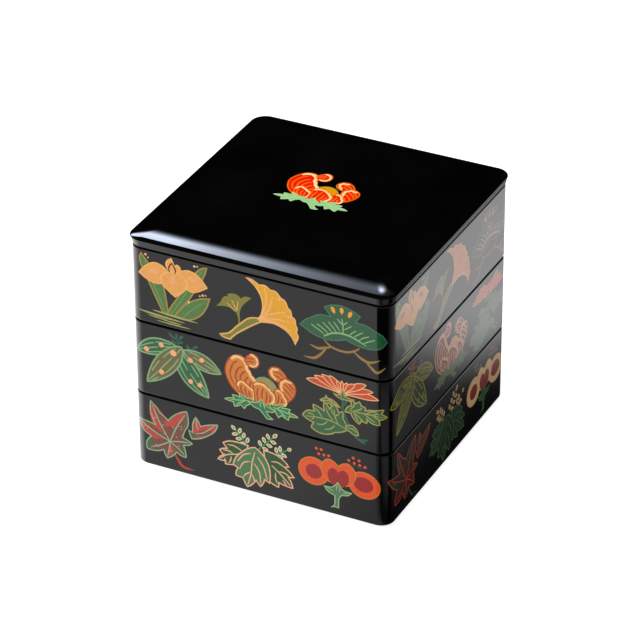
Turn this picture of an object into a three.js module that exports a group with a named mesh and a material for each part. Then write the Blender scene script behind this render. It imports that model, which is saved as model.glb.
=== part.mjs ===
// Lacquer stacking food box: three equal square tiers that nest by a low foot, and a lid with a
// rolled edge that nests the same way. Millimetres, +Z up. The origin is the centre of the
// underside, on the surface that the box stands on.

import * as THREE from "three";
import { mergeVertices } from "three/addons/utils/BufferGeometryUtils.js";

// Tier sizes
const box_width = 195;
const tier_height = 57.4;
const wall_thickness = 4.5;
const floor_thickness = 4;
const corner_radius = 10;
const edge_round = 1.5;
const floor_fillet = 3;
const tier_names = ["tier_bottom", "tier_middle", "tier_top"];

// How a piece nests in the mouth of the tier below it
const foot_height = 2.5;
const foot_clearance = 0.6;
const rest_gap = 0.3;

// Lid sizes
const lid_overhang = 1.5;
const lid_seam_overhang = 0.4;
const skirt_height = 5.6;
const roll_width = 22;
const roll_height = 3.2;
const lid_thickness = 4;
const lip_thickness = 3;

// Fineness of the round stretches
const corner_steps = 8;
const edge_steps = 3;
const fillet_steps = 3;
const roll_steps = 9;

// Sizes that follow from the ones above
const tier_half = box_width / 2;
const mouth_half = tier_half - wall_thickness;
const foot_half = mouth_half - foot_clearance;
const tier_pitch = tier_height + rest_gap;
const lid_half = tier_half + lid_overhang;
const lid_corner_radius = corner_radius + lid_overhang;

// An elliptical quarter from angle start to start + 90 degrees, as profile points.
function quarter(centre_half, centre_z, width, height, start, steps) {
  const arc = new THREE.EllipseCurve(
    centre_half, centre_z, width, height, start, start + Math.PI / 2, false, 0,
  );
  return arc.getPoints(steps);
}

// The same quarter run backwards, for the hollow side of a fillet.
function hollow_quarter(centre_half, centre_z, radius, start, steps) {
  return quarter(centre_half, centre_z, radius, radius, start, steps).reverse();
}

// One ring of the plan: a square of the given half width with round corners, walked
// anticlockwise, with the same number of points whatever its size.
function square_ring(half, radius) {
  const centre = half - radius;
  const ring = [];
  const corners = [[1, 1], [-1, 1], [-1, -1], [1, -1]];
  corners.forEach(([side_x, side_y], turn) => {
    for (let step = 0; step <= corner_steps; step += 1) {
      const angle = (turn + step / corner_steps) * (Math.PI / 2);
      ring.push(new THREE.Vector2(
        side_x * centre + radius * Math.cos(angle),
        side_y * centre + radius * Math.sin(angle),
      ));
    }
  });
  return ring;
}

// A profile of (half width, height) points carried round the square plan. The lathe gives the
// closed skin, and each of its columns moves from the circle to its point on the square. All
// corners share one centre, so a ring that lies further in has a smaller corner radius.
function square_turned(profile, outer_half, outer_radius) {
  const columns = 4 * (corner_steps + 1);
  const lathe = new THREE.LatheGeometry(profile, columns);
  const position = lathe.getAttribute("position");
  const corner_centre = outer_half - outer_radius;
  profile.forEach((point, row) => {
    const radius = Math.max(point.x - corner_centre, 0);
    const ring = square_ring(point.x, radius);
    for (let column = 0; column <= columns; column += 1) {
      const place = ring[column % columns];
      position.setXYZ(column * profile.length + row, place.x, place.y, point.y);
    }
  });
  lathe.deleteAttribute("normal");
  lathe.deleteAttribute("uv");
  return mergeVertices(lathe);
}

// One tier, standing on its foot at height 0: the foot, the outer wall with both edges rounded,
// the mouth, the inner wall and the filleted inner floor, as one closed profile.
function tier_geometry() {
  const wall_bottom = foot_height;
  const wall_top = wall_bottom + tier_height;
  const floor_top = wall_bottom + floor_thickness;
  const edge_half = tier_half - edge_round;
  const profile = [
    new THREE.Vector2(0, 0),
    new THREE.Vector2(foot_half, 0),
    new THREE.Vector2(foot_half, wall_bottom),
    ...quarter(edge_half, wall_bottom + edge_round, edge_round, edge_round, -Math.PI / 2, edge_steps),
    ...quarter(edge_half, wall_top - edge_round, edge_round, edge_round, 0, edge_steps),
    new THREE.Vector2(mouth_half, wall_top),
    ...hollow_quarter(mouth_half - floor_fillet, floor_top + floor_fillet, floor_fillet, -Math.PI / 2,
      fillet_steps),
    new THREE.Vector2(0, floor_top),
  ];
  return square_turned(profile, tier_half, corner_radius);
}

// The lid, with its seam at height 0: the hollow underside, the lip that drops into the mouth,
// the skirt that flares up from the seam, and the rolled edge that runs into the flat top.
function lid_geometry() {
  const top = skirt_height + roll_height;
  const lip_inner_half = foot_half - lip_thickness;
  const seam_half = tier_half + lid_seam_overhang;
  const profile = [
    new THREE.Vector2(0, top - lid_thickness),
    new THREE.Vector2(lip_inner_half, top - lid_thickness),
    new THREE.Vector2(lip_inner_half, -foot_height),
    new THREE.Vector2(foot_half, -foot_height),
    new THREE.Vector2(foot_half, 0),
    ...quarter(seam_half - edge_round, edge_round, edge_round, edge_round, -Math.PI / 2, edge_steps),
    ...quarter(lid_half - roll_width, skirt_height, roll_width, roll_height, 0, roll_steps),
    new THREE.Vector2(0, top),
  ];
  return square_turned(profile, lid_half, lid_corner_radius);
}

// Mirror-smooth black lacquer, each piece with a material of its own
function black_lacquer() {
  return new THREE.MeshStandardMaterial({ color: 0x0b0b0c, roughness: 0.06, metalness: 0 });
}

function lacquered_piece(name, geometry, height) {
  const piece = new THREE.Mesh(geometry, black_lacquer());
  piece.name = name;
  piece.position.z = height;
  return piece;
}

const food_box = new THREE.Group();
tier_names.forEach((name, level) => {
  food_box.add(lacquered_piece(name, tier_geometry(), level * tier_pitch));
});

const lid_seam_z = foot_height + tier_names.length * tier_pitch;
food_box.add(lacquered_piece("lid", lid_geometry(), lid_seam_z));

export default food_box;
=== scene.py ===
"""Looks of the lacquer stacking food box: three painted tiers under a lid with a rolled edge.

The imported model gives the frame: metres, +Z up, the front wall towards -Y, and the origin under the
middle of the box. Shapes and paintings are worked out in millimetres and made metres in the mesh.
A wall is unrolled for painting: u runs to the right along the wall and round its corners, v is the
height, and every wall carries the same three plants as the others on its tier.
"""

import logging
import math
from abc import ABC, abstractmethod
from collections.abc import Sequence
from dataclasses import dataclass, field
from enum import Enum

import bpy
import numpy as np
from mathutils import Matrix, Vector
from mathutils.geometry import delaunay_2d_cdt


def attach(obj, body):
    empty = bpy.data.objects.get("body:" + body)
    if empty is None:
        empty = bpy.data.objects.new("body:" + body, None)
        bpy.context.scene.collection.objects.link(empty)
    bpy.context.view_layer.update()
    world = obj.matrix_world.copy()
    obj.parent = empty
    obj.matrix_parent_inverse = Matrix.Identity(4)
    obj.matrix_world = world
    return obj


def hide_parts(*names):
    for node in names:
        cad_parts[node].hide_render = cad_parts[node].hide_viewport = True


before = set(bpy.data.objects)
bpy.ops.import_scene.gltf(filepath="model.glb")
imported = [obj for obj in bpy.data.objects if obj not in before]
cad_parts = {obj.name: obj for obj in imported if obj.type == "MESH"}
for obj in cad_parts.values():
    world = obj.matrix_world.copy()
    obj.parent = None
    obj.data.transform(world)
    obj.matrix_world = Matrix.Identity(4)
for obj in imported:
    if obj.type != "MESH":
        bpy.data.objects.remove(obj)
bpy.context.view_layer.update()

LOG = logging.getLogger("food_box")
Points = Sequence[Sequence[float]]
MM = 0.001
BODY = "root"
IMAGE_WIDTH = 640
BAKE_MAP = "OFBake"
CUT_REACH = 0.0001
WELD_CELL = 0.001
WELD_SHIFT = 0.3571
PAINT_LAYER = "paint"
BARE = (0.0, 0.0, 0.0, 1.0)

# The finishes, in their order on every piece
POLISHED, DULL, PAINTED = 0, 1, 2

# The light that the clear coat mirrors over the front wall's paint, and the least that a paint keeps
HAZE = 0.036
DARKEST = 0.003


# Colours

def linear(colour: tuple[int, int, int]) -> tuple[float, float, float, float]:
    """Turns an 8-bit screen colour into the shader's linear one.

    Args:
        colour: red, green and blue from 0 to 255.

    Returns:
        Linear red, green, blue and an alpha of 1, by the sRGB curve: (c + 0.055) / 1.055 to the
        power 2.4, or c / 12.92 in the darkest part.
    """
    share = np.asarray(colour, float) / 255
    curve = np.where(share > 0.04045, ((share + 0.055) / 1.055) ** 2.4, share / 12.92)
    return (*curve.tolist(), 1.0)


# Shader nodes

class Number:
    """A number on a shader socket, on which arithmetic adds Math nodes."""

    def __init__(self, sheet: "NodeSheet", socket: bpy.types.NodeSocket) -> None:
        """Keeps the node tree and the socket that gives the number."""
        self.sheet = sheet
        self.socket = socket

    def __add__(self, other: "Number | float") -> "Number":
        """Adds."""
        return self.sheet.calculate("ADD", self, other)

    __radd__ = __add__

    def __sub__(self, other: "Number | float") -> "Number":
        """Takes the other away."""
        return self.sheet.calculate("SUBTRACT", self, other)

    def __rsub__(self, other: float) -> "Number":
        """Is taken away from the other."""
        return self.sheet.calculate("SUBTRACT", other, self)

    def __mul__(self, other: "Number | float") -> "Number":
        """Multiplies."""
        return self.sheet.calculate("MULTIPLY", self, other)

    __rmul__ = __mul__

    def __neg__(self) -> "Number":
        """Changes the sign."""
        return self.sheet.calculate("MULTIPLY", self, -1.0)

    def rise(self, start: float, end: float) -> "Number":
        """Goes smoothly from 0 at start to 1 at end, or down where end is below start."""
        if end < start:
            return 1 - self.rise(end, start)
        settings = {"interpolation_type": "SMOOTHSTEP"}
        values = {"Value": self, "From Min": start, "From Max": end}
        ranged = self.sheet.node("ShaderNodeMapRange", settings, values)
        return Number(self.sheet, ranged.outputs["Result"])


class NodeSheet:
    """A node tree that is being laid out."""

    def __init__(self, tree: bpy.types.NodeTree) -> None:
        """Starts with an empty tree."""
        self.tree = tree
        self.tree.nodes.clear()

    def node(self, kind: str, settings: dict | None = None, values: dict | None = None) -> bpy.types.Node:
        """Makes one node.

        Args:
            kind: the node's type.
            settings: its properties, set first.
            values: values or links for its sockets, by name or number.

        Returns:
            The new node.
        """
        made = self.tree.nodes.new(kind)
        for name, setting in (settings or {}).items():
            setattr(made, name, setting)
        for key, value in (values or {}).items():
            target = made.inputs[key]
            if isinstance(value, Number):
                value = value.socket
            if isinstance(value, bpy.types.NodeSocket):
                self.tree.links.new(value, target)
            else:
                target.default_value = value
        return made

    def calculate(self, operation: str, *terms: "Number | float") -> Number:
        """Adds one Math node on up to three terms and gives its result."""
        made = self.node("ShaderNodeMath", {"operation": operation}, dict(enumerate(terms)))
        return Number(self, made.outputs[0])

    def direction(self, right: Number, ahead: Number) -> Number:
        """Gives a direction in degrees: 0 straight ahead, 90 to the right and -90 to the left."""
        return self.calculate("ARCTAN2", right, ahead) * (180 / math.pi)

    def place(self) -> bpy.types.NodeSocket:
        """Gives the place on the object, in metres of the shared frame."""
        return self.node("ShaderNodeTexCoord").outputs["Object"]

    def place_parts(self) -> tuple[Number, Number, Number]:
        """Gives the place on the object as three numbers."""
        split = self.node("ShaderNodeSeparateXYZ", None, {0: self.place()})
        return tuple(Number(self, output) for output in split.outputs)

    def grain(self, size: float, detail: float = 2.0, roughness: float = 0.5) -> Number:
        """Gives a noise from 0 to 1.

        Args:
            size: width of its lumps, in metres.
            detail: how many finer layers it has.
            roughness: how strong the finer layers are.

        Returns:
            The noise, about 0.5 on average.
        """
        values = {"Vector": self.place(), "Scale": 1 / size, "Detail": detail, "Roughness": roughness}
        return Number(self, self.node("ShaderNodeTexNoise", None, values).outputs["Fac"])

    def blend(self, factor: Number, first: tuple, second: tuple) -> bpy.types.NodeSocket:
        """Mixes two colours, the second where the factor is 1."""
        made = self.node("ShaderNodeMix", {"data_type": "RGBA"}, {0: factor, 6: first, 7: second})
        return made.outputs[2]

    def surface(self, shader: bpy.types.Node) -> None:
        """Sends a shader to the material's surface."""
        self.node("ShaderNodeOutputMaterial", None, {"Surface": shader.outputs[0]})


@dataclass(frozen=True)
class Lacquer:
    """Black lacquer, rubbed and polished, with the faint swell that a brushed coat keeps."""

    name: str
    roughness: float
    swell: float
    black: tuple[int, int, int] = (3, 3, 3)
    bloom: tuple[int, int, int] = (7, 6, 6)
    ior: float = 1.5

    def make(self) -> bpy.types.Material:
        """Builds the material: two near blacks in a soft cloud, and a very low wide bump."""
        material = bpy.data.materials.new(self.name)
        material.use_nodes = True
        sheet = NodeSheet(material.node_tree)
        cloud = sheet.grain(0.045, 3.0)
        rubbed = sheet.grain(0.012, 4.0, 0.6)
        bump = sheet.node("ShaderNodeBump", None, {
            "Strength": 1.0, "Distance": self.swell, "Height": sheet.grain(0.016, 1.0)})
        sheet.surface(sheet.node("ShaderNodeBsdfPrincipled", None, {
            "Base Color": sheet.blend(cloud.rise(0.35, 0.7), linear(self.black), linear(self.bloom)),
            "Roughness": self.roughness + rubbed * (0.4 * self.roughness),
            "IOR": self.ior,
            "Normal": bump.outputs[0]}))
        return material


class Paint(Enum):
    """The paints, as screen colours: on the front and back walls, then on the two side walls. The side
    walls' colours are partly their own paints and partly painted light: painted shade where the side wall
    gets less light, and a painted reflection of the clear coat washed over them.
    """

    APRICOT = ((240, 170, 96), (240, 172, 110))
    APRICOT_RIM = ((250, 186, 112), (246, 188, 126))
    BLUSH = ((244, 176, 122), (200, 132, 88))
    UMBER = ((54, 36, 36), (128, 84, 60))
    IRIS_GREEN = ((94, 130, 76), (84, 106, 76))
    IRIS_RIB = ((116, 152, 94), (112, 136, 104))
    OCHRE = ((172, 142, 72), (118, 132, 96))
    PALE_SPOT = ((250, 196, 148), (196, 190, 160))
    WATER = ((170, 168, 100), (150, 154, 112))
    GINKGO = ((236, 172, 58), (226, 140, 90))
    PEACH = ((252, 186, 122), (238, 164, 118))
    OLIVE = ((138, 132, 66), (128, 120, 72))
    WHEAT = ((226, 178, 104), (176, 142, 96))
    PINE = ((64, 102, 74), (44, 66, 52))
    PINE_RIM = ((84, 132, 108), (96, 128, 104))
    NEEDLE = ((142, 184, 126), (206, 146, 120))
    AMBER = ((242, 166, 72), (214, 122, 92))
    BRANCH = ((160, 124, 76), (150, 84, 72))
    BAMBOO = ((66, 108, 78), (34, 62, 34))
    BAMBOO_DRY = ((120, 110, 76), (84, 92, 44))
    REED = ((136, 176, 126), (146, 136, 44))
    BUD = ((250, 180, 130), (140, 122, 36))
    SPRIG = ((60, 106, 88), (150, 92, 60))
    PEONY = ((214, 136, 64), (118, 56, 48))
    PEONY_LINE = ((186, 76, 48), (232, 156, 122))
    PEONY_CREAM = ((254, 200, 132), (240, 170, 126))
    DOME = ((158, 154, 92), (226, 160, 110))
    DOME_RIM = ((120, 156, 96), (222, 156, 112))
    SEPAL = ((62, 130, 98), (84, 112, 74))
    SEPAL_RIM = ((172, 198, 126), (98, 126, 88))
    MUM = ((206, 90, 60), (224, 112, 88))
    MUM_RIM = ((253, 188, 136), (228, 124, 98))
    MUM_STEM = ((60, 106, 90), (98, 118, 100))
    MUM_LEAF = ((68, 110, 78), (92, 114, 92))
    MUM_GOLD = ((176, 164, 92), (104, 124, 102))
    MAPLE_RED = ((200, 80, 72), (20, 66, 58))
    MAPLE_DUSK = ((132, 84, 74), (66, 42, 34))
    MAPLE_GREEN = ((76, 114, 76), (92, 46, 34))
    MAPLE_LINE = ((150, 186, 148), (190, 64, 42))
    MAPLE_STALK = ((196, 70, 60), (48, 66, 48))
    NETTLE = ((86, 130, 90), (40, 58, 32))
    NETTLE_DARK = ((54, 94, 62), (38, 66, 42))
    SHELL = ((246, 182, 148), (72, 98, 70))
    CREAM = ((230, 216, 168), (224, 180, 126))
    SEED = ((96, 100, 62), (112, 70, 44))
    TEAL = ((72, 152, 118), (64, 84, 56))
    PLUM = ((236, 98, 58), (238, 192, 142))
    PLUM_HEART = ((166, 62, 60), (146, 46, 34))
    PLUM_RIM = ((220, 132, 62), (214, 172, 108))
    BERRY = ((238, 92, 58), (176, 104, 88))
    CALYX = ((98, 132, 102), (54, 92, 58))
    CALYX_RIM = ((168, 196, 142), (74, 108, 74))
    STALK_GREY = ((88, 100, 88), (110, 84, 78))
    FLAME = ((244, 62, 18), (244, 62, 18))
    FLAME_LINE = ((255, 120, 44), (255, 120, 44))
    FLAME_CREAM = ((255, 226, 160), (255, 226, 160))
    GOLD = ((236, 158, 36), (236, 158, 36))
    GOLD_RIM = ((150, 160, 70), (150, 160, 70))
    MINT = ((160, 212, 146), (160, 212, 146))
    MINT_RIM = ((176, 220, 160), (176, 220, 160))

    def colour(self, wall: int) -> tuple[float, float, float, float]:
        """Gives the linear colour on a wall, less the haze that the front's clear coat adds to it.

        Args:
            wall: the wall's number, round the box from the front.

        Returns:
            Linear red, green, blue and alpha.
        """
        # Only the front and back walls lose the haze; the side walls' colours keep their painted shade and
        # painted reflection
        haze = HAZE if wall % 2 == 0 else 0.0
        red, green, blue, _ = linear(self.value[wall % 2])
        return max(red - haze, DARKEST), max(green - haze, DARKEST), max(blue - haze, DARKEST), 1.0


@dataclass(frozen=True)
class PlantPaint:
    """Gloss paint under the last clear coat, brushed on in slightly uneven strokes."""

    name: str
    roughness: float = 0.045
    stroke: float = 0.0028
    bristle: float = 0.0007
    stroke_strength: float = 0.28
    bristle_strength: float = 0.16
    swell: float = 0.000004
    shadow: tuple[int, int, int] = (206, 200, 196)
    ior: float = 1.5

    def make(self) -> bpy.types.Material:
        """Builds the material: the painted colour, thinned in two sizes of brush marks."""
        material = bpy.data.materials.new(self.name)
        material.use_nodes = True
        sheet = NodeSheet(material.node_tree)
        colour = sheet.node("ShaderNodeAttribute", {"attribute_name": PAINT_LAYER}).outputs["Color"]
        strokes = sheet.grain(self.stroke, 3.0, 0.6)
        bristles = sheet.grain(self.bristle, 2.0)
        marks = (strokes.rise(0.4, 0.75) * self.stroke_strength
                 + bristles.rise(0.45, 0.8) * self.bristle_strength)
        brushed = sheet.node("ShaderNodeMix", {"data_type": "RGBA", "blend_type": "MULTIPLY"},
                             {0: marks, 6: colour, 7: linear(self.shadow)})
        bump = sheet.node("ShaderNodeBump", None, {
            "Strength": 1.0, "Distance": self.swell, "Height": strokes})
        sheet.surface(sheet.node("ShaderNodeBsdfPrincipled", None, {
            "Base Color": brushed.outputs[2],
            "Roughness": self.roughness + strokes * (0.8 * self.roughness),
            "IOR": self.ior,
            "Normal": bump.outputs[0]}))
        return material


# Plan and profile of the pieces

@dataclass(frozen=True)
class SquarePlan:
    """The plan that all rings of a piece share: a square with round corners about fixed centres.

    Columns are numbered anticlockwise from the left end of the front wall. Each wall has its two
    ends and then the inner steps of the corner that follows it.
    """

    half: float = 97.5
    centre: float = 87.5
    corner_steps: int = 24

    @property
    def radius(self) -> float:
        """Corner radius of the outer ring."""
        return self.half - self.centre

    @property
    def pitch(self) -> float:
        """Way along the outer ring from the middle of one wall to the middle of the next."""
        return 2 * self.centre + self.radius * math.pi / 2

    @property
    def around(self) -> float:
        """Length of the whole outer ring."""
        return 4 * self.pitch

    def columns(self) -> tuple[np.ndarray, np.ndarray, np.ndarray]:
        """Lists the columns of the ring.

        Returns:
            The wall that each belongs to, the side of its corner centre (-1 left, 1 right), and
            the angle that its outward normal has turned from the wall's own.
        """
        steps = np.arange(1, self.corner_steps) / self.corner_steps * math.pi / 2
        side = np.concatenate([[-1.0, 1.0], np.ones(len(steps))])
        turn = np.concatenate([[0.0, 0.0], steps])
        wall = np.repeat(np.arange(4), len(side))
        return wall, np.tile(side, 4), np.tile(turn, 4)

    def unrolled(self) -> np.ndarray:
        """Gives each column's way u along the outer ring, from the middle of the front wall."""
        wall, side, turn = self.columns()
        return wall * self.pitch + side * self.centre + self.radius * turn

    def ring(self, half: float, centre: float | None = None) -> tuple[np.ndarray, np.ndarray]:
        """Lays out one ring.

        Args:
            half: half width of the ring.
            centre: distance of its corner centres, the plan's own where it is left out.

        Returns:
            Points and outward normals in plan. A point is its corner's centre plus the corner
            radius along the normal, and the normal is the wall's, turned round the corner.
        """
        centre = self.centre if centre is None else centre
        wall, side, turn = self.columns()
        angle = wall * math.pi / 2
        centres = self._turned(np.stack([side * centre, np.full(len(side), -centre)], axis=1), angle)
        normals = self._turned(np.stack([np.sin(turn), -np.cos(turn)], axis=1), angle)
        return centres + (half - centre) * normals, normals

    def rolled(self, u: np.ndarray) -> tuple[np.ndarray, np.ndarray]:
        """Rolls ways along the outer ring back up.

        Args:
            u: ways along the ring, in millimetres.

        Returns:
            Points and outward normals in plan: straight on along the wall up to its corner
            centre, then round that centre by the way divided by the radius.
        """
        wall = np.round(u / self.pitch)
        along = u - wall * self.pitch
        flat = np.clip(along, -self.centre, self.centre)
        turn = (along - flat) / self.radius
        angle = wall * math.pi / 2
        normals = np.stack([np.sin(turn), -np.cos(turn)], axis=1)
        points = np.stack([flat, np.full(len(u), -self.centre)], axis=1) + self.radius * normals
        return self._turned(points, angle), self._turned(normals, angle)

    @staticmethod
    def _turned(points: np.ndarray, angle: np.ndarray) -> np.ndarray:
        """Turns each point anticlockwise about the middle by its own angle."""
        cos, sin = np.cos(angle), np.sin(angle)
        x, y = points[:, 0], points[:, 1]
        return np.stack([cos * x - sin * y, sin * x + cos * y], axis=1)


@dataclass(frozen=True)
class ProfileRun:
    """A stretch of a piece's profile: points of (half width, height) with their normals."""

    points: np.ndarray
    normals: np.ndarray

    @staticmethod
    def straight(start: tuple[float, float], end: tuple[float, float]) -> "ProfileRun":
        """Makes a straight run whose normal points to the right of its way."""
        points = np.array([start, end], float)
        way = points[1] - points[0]
        normal = np.array([way[1], -way[0]]) / np.hypot(*way)
        return ProfileRun(points, np.tile(normal, (2, 1)))

    @staticmethod
    def round(centre: tuple[float, float], width: float, height: float, start: float, end: float,
              steps: int, hollow: bool = False) -> "ProfileRun":
        """Makes a run along an ellipse.

        Args:
            centre: its middle, as half width and height.
            width: its half axis across.
            height: its half axis upwards.
            start: angle of its first point in degrees, 0 outwards and 90 up.
            end: angle of its last point.
            steps: number of steps.
            hollow: whether the surface is seen from inside the ellipse.

        Returns:
            The run: centre + (width cos a, height sin a), with the normal (cos a / width,
            sin a / height) made one long.
        """
        angle = np.radians(np.linspace(start, end, steps + 1))
        round_part = np.stack([np.cos(angle), np.sin(angle)], axis=1)
        axes = np.array([width, height])
        normals = round_part / axes
        normals /= np.linalg.norm(normals, axis=1, keepdims=True)
        return ProfileRun(np.array(centre) + round_part * axes, -normals if hollow else normals)


@dataclass(frozen=True)
class Area:
    """One closed outline of paint, in millimetres on the unrolled wall or the lid."""

    outline: np.ndarray
    colour: tuple[float, ...] = BARE

    def covers(self, points: np.ndarray) -> np.ndarray:
        """Says which points lie inside.

        Args:
            points: places to test.

        Returns:
            True where the outline winds round the point the way it runs as a whole. The winding
            counts upward crossings to the left of the point less the downward ones.
        """
        low, high = self.outline.min(axis=0), self.outline.max(axis=0)
        inside = np.all((points > low) & (points < high), axis=1)
        near = np.flatnonzero(inside)
        start = self.outline[None]
        end = np.roll(self.outline, -1, axis=0)[None]
        place = points[near][:, None]
        side = ((end[..., 0] - start[..., 0]) * (place[..., 1] - start[..., 1])
                - (end[..., 1] - start[..., 1]) * (place[..., 0] - start[..., 0]))
        upward = (start[..., 1] <= place[..., 1]) & (end[..., 1] > place[..., 1]) & (side > 0)
        downward = (start[..., 1] > place[..., 1]) & (end[..., 1] <= place[..., 1]) & (side < 0)
        winding = upward.sum(axis=1) - downward.sum(axis=1)
        inside[near] = winding * signed_area(self.outline) > 0
        return inside


def signed_area(outline: np.ndarray) -> float:
    """Area inside an outline, negative where it runs clockwise."""
    x, y = outline.T
    return float(np.sum(x * np.roll(y, -1) - np.roll(x, -1) * y) / 2)


@dataclass
class PaintedSheet:
    """A flat or unrolled surface cut up along its painted outlines.

    Its corners are the surface's own boundary points. All outlines become edges of one
    triangulation, and a triangle takes the paint of the last area that covers its middle.
    """

    boundary: np.ndarray
    creases: list[np.ndarray]
    areas: list[Area]

    def cut(self) -> tuple[np.ndarray, np.ndarray, np.ndarray]:
        """Triangulates the sheet.

        Returns:
            Points, triangles that run anticlockwise, and the number of the area that each
            triangle shows, or -1 for bare lacquer.
        """
        loops = [self.boundary] + [area.outline for area in self.areas]
        starts = np.cumsum([0] + [len(loop) for loop in loops])
        points = np.concatenate(loops + self.creases)
        edges = [np.stack([np.arange(len(loop)), np.roll(np.arange(len(loop)), -1)], axis=1) + start
                 for loop, start in zip(loops, starts)]
        crease_ends = starts[-1] + np.arange(2 * len(self.creases)).reshape(-1, 2)
        edges = np.concatenate(edges + [crease_ends]).astype(int)
        result = delaunay_2d_cdt([Vector(point) for point in points], edges.tolist(), [], 0, CUT_REACH)
        made = np.array([point[:] for point in result[0]])
        triangles = np.array(result[2], int)
        corners = made[triangles]
        first, second = corners[:, 1] - corners[:, 0], corners[:, 2] - corners[:, 0]
        clockwise = first[:, 0] * second[:, 1] - first[:, 1] * second[:, 0] < 0
        triangles[clockwise] = triangles[clockwise][:, ::-1]
        middles = made[triangles].mean(axis=1)
        kept = Area(self.boundary).covers(middles)
        triangles, middles = triangles[kept], middles[kept]
        shown = np.full(len(triangles), -1)
        for number, area in enumerate(self.areas):
            shown[area.covers(middles)] = number
        return made, triangles, shown


@dataclass
class Skin:
    """The closed surface of one piece, gathered stretch by stretch.

    Every stretch brings its own corners, normals, map places and finishes. Corners that coincide
    become one vertex at the end, which closes the skin.
    """

    name: str
    finishes: list[bpy.types.Material]
    corners: list[np.ndarray] = field(default_factory=list)
    normals: list[np.ndarray] = field(default_factory=list)
    places: list[np.ndarray] = field(default_factory=list)
    sides: list[np.ndarray] = field(default_factory=list)
    kinds: list[np.ndarray] = field(default_factory=list)
    colours: list[np.ndarray] = field(default_factory=list)

    def add(self, corners: np.ndarray, normals: np.ndarray, places: np.ndarray, kinds: np.ndarray | int,
            colours: np.ndarray | tuple = BARE) -> None:
        """Adds faces that all have the same number of corners.

        Args:
            corners: face by corner by x, y, z, in millimetres.
            normals: the corners' normals, in the same layout.
            places: the corners' places on the bake map.
            kinds: number of each face's finish.
            colours: each face's painted colour, linear.
        """
        count, sides = corners.shape[:2]
        self.corners.append(corners.reshape(-1, 3))
        self.normals.append(normals.reshape(-1, 3))
        self.places.append(places.reshape(-1, 2))
        self.sides.append(np.full(count, sides))
        self.kinds.append(np.broadcast_to(kinds, count))
        self.colours.append(np.repeat(np.broadcast_to(colours, (count, 4)), sides, axis=0))

    def build(self) -> bpy.types.Object:
        """Joins the stretches into one object.

        Returns:
            The object, with its normals, bake map and finishes. Corners in the same cell of a grid
            of WELD_CELL millimetres are one vertex; the grid is shifted off the round numbers. A
            sliver whose corners became one vertex is left out, which leaves no gap.
        """
        corners = np.concatenate(self.corners)
        cells = np.floor(corners / WELD_CELL + WELD_SHIFT).astype(np.int64)
        _, first, index = np.unique(cells, axis=0, return_index=True, return_inverse=True)
        index = index.ravel()
        sides = np.concatenate(self.sides)
        starts = np.cumsum(sides) - sides
        following = np.arange(1, len(corners) + 1)
        following[starts + sides - 1] = starts
        whole = np.add.reduceat(index == index[following], starts) == 0
        kept = np.repeat(whole, sides)
        sides = sides[whole]
        used, index = np.unique(index[kept], return_inverse=True)
        mesh = bpy.data.meshes.new(self.name)
        mesh.vertices.add(len(used))
        mesh.vertices.foreach_set("co", (corners[first[used]] * MM).ravel())
        mesh.loops.add(len(index))
        mesh.loops.foreach_set("vertex_index", index.astype(np.int32))
        mesh.polygons.add(len(sides))
        mesh.polygons.foreach_set("loop_start", (np.cumsum(sides) - sides).astype(np.int32))
        mesh.polygons.foreach_set("material_index", np.concatenate(self.kinds)[whole].astype(np.int32))
        mesh.polygons.foreach_set("use_smooth", np.ones(len(sides), bool))
        layer = mesh.uv_layers.new(name=BAKE_MAP)
        layer.uv.foreach_set("vector", np.concatenate(self.places)[kept].ravel())
        colours = mesh.color_attributes.new(PAINT_LAYER, "FLOAT_COLOR", "CORNER")
        colours.data.foreach_set("color", np.concatenate(self.colours)[kept].astype(np.float32).ravel())
        mesh.update(calc_edges=True)
        mesh.normals_split_custom_set(np.concatenate(self.normals)[kept].tolist())
        made = bpy.data.objects.new(self.name, mesh)
        for finish in self.finishes:
            mesh.materials.append(finish)
        bpy.context.scene.collection.objects.link(made)
        return made


# The pieces

@dataclass(frozen=True)
class BakePage:
    """Where the stretches of a piece lie on its bake map, all as shares of the map's width.

    The scale is 4.2 texels of a map of 1024 for each millimetre.
    """

    scale: float = 4.2 / 1024
    left: float = 0.004
    bottom: float = 0.004
    right: float = 0.995
    gap: float = 0.01
    strip_height: float = 58.0

    def wall(self, along: np.ndarray, height: np.ndarray, wall: np.ndarray, pitch: float) -> np.ndarray:
        """Lays the four painted walls one above the other."""
        across = self.left + (along + pitch / 2) * self.scale
        up = self.bottom + (wall % 4 * self.strip_height + height) * self.scale
        return np.stack([across, up], axis=-1)


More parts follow.
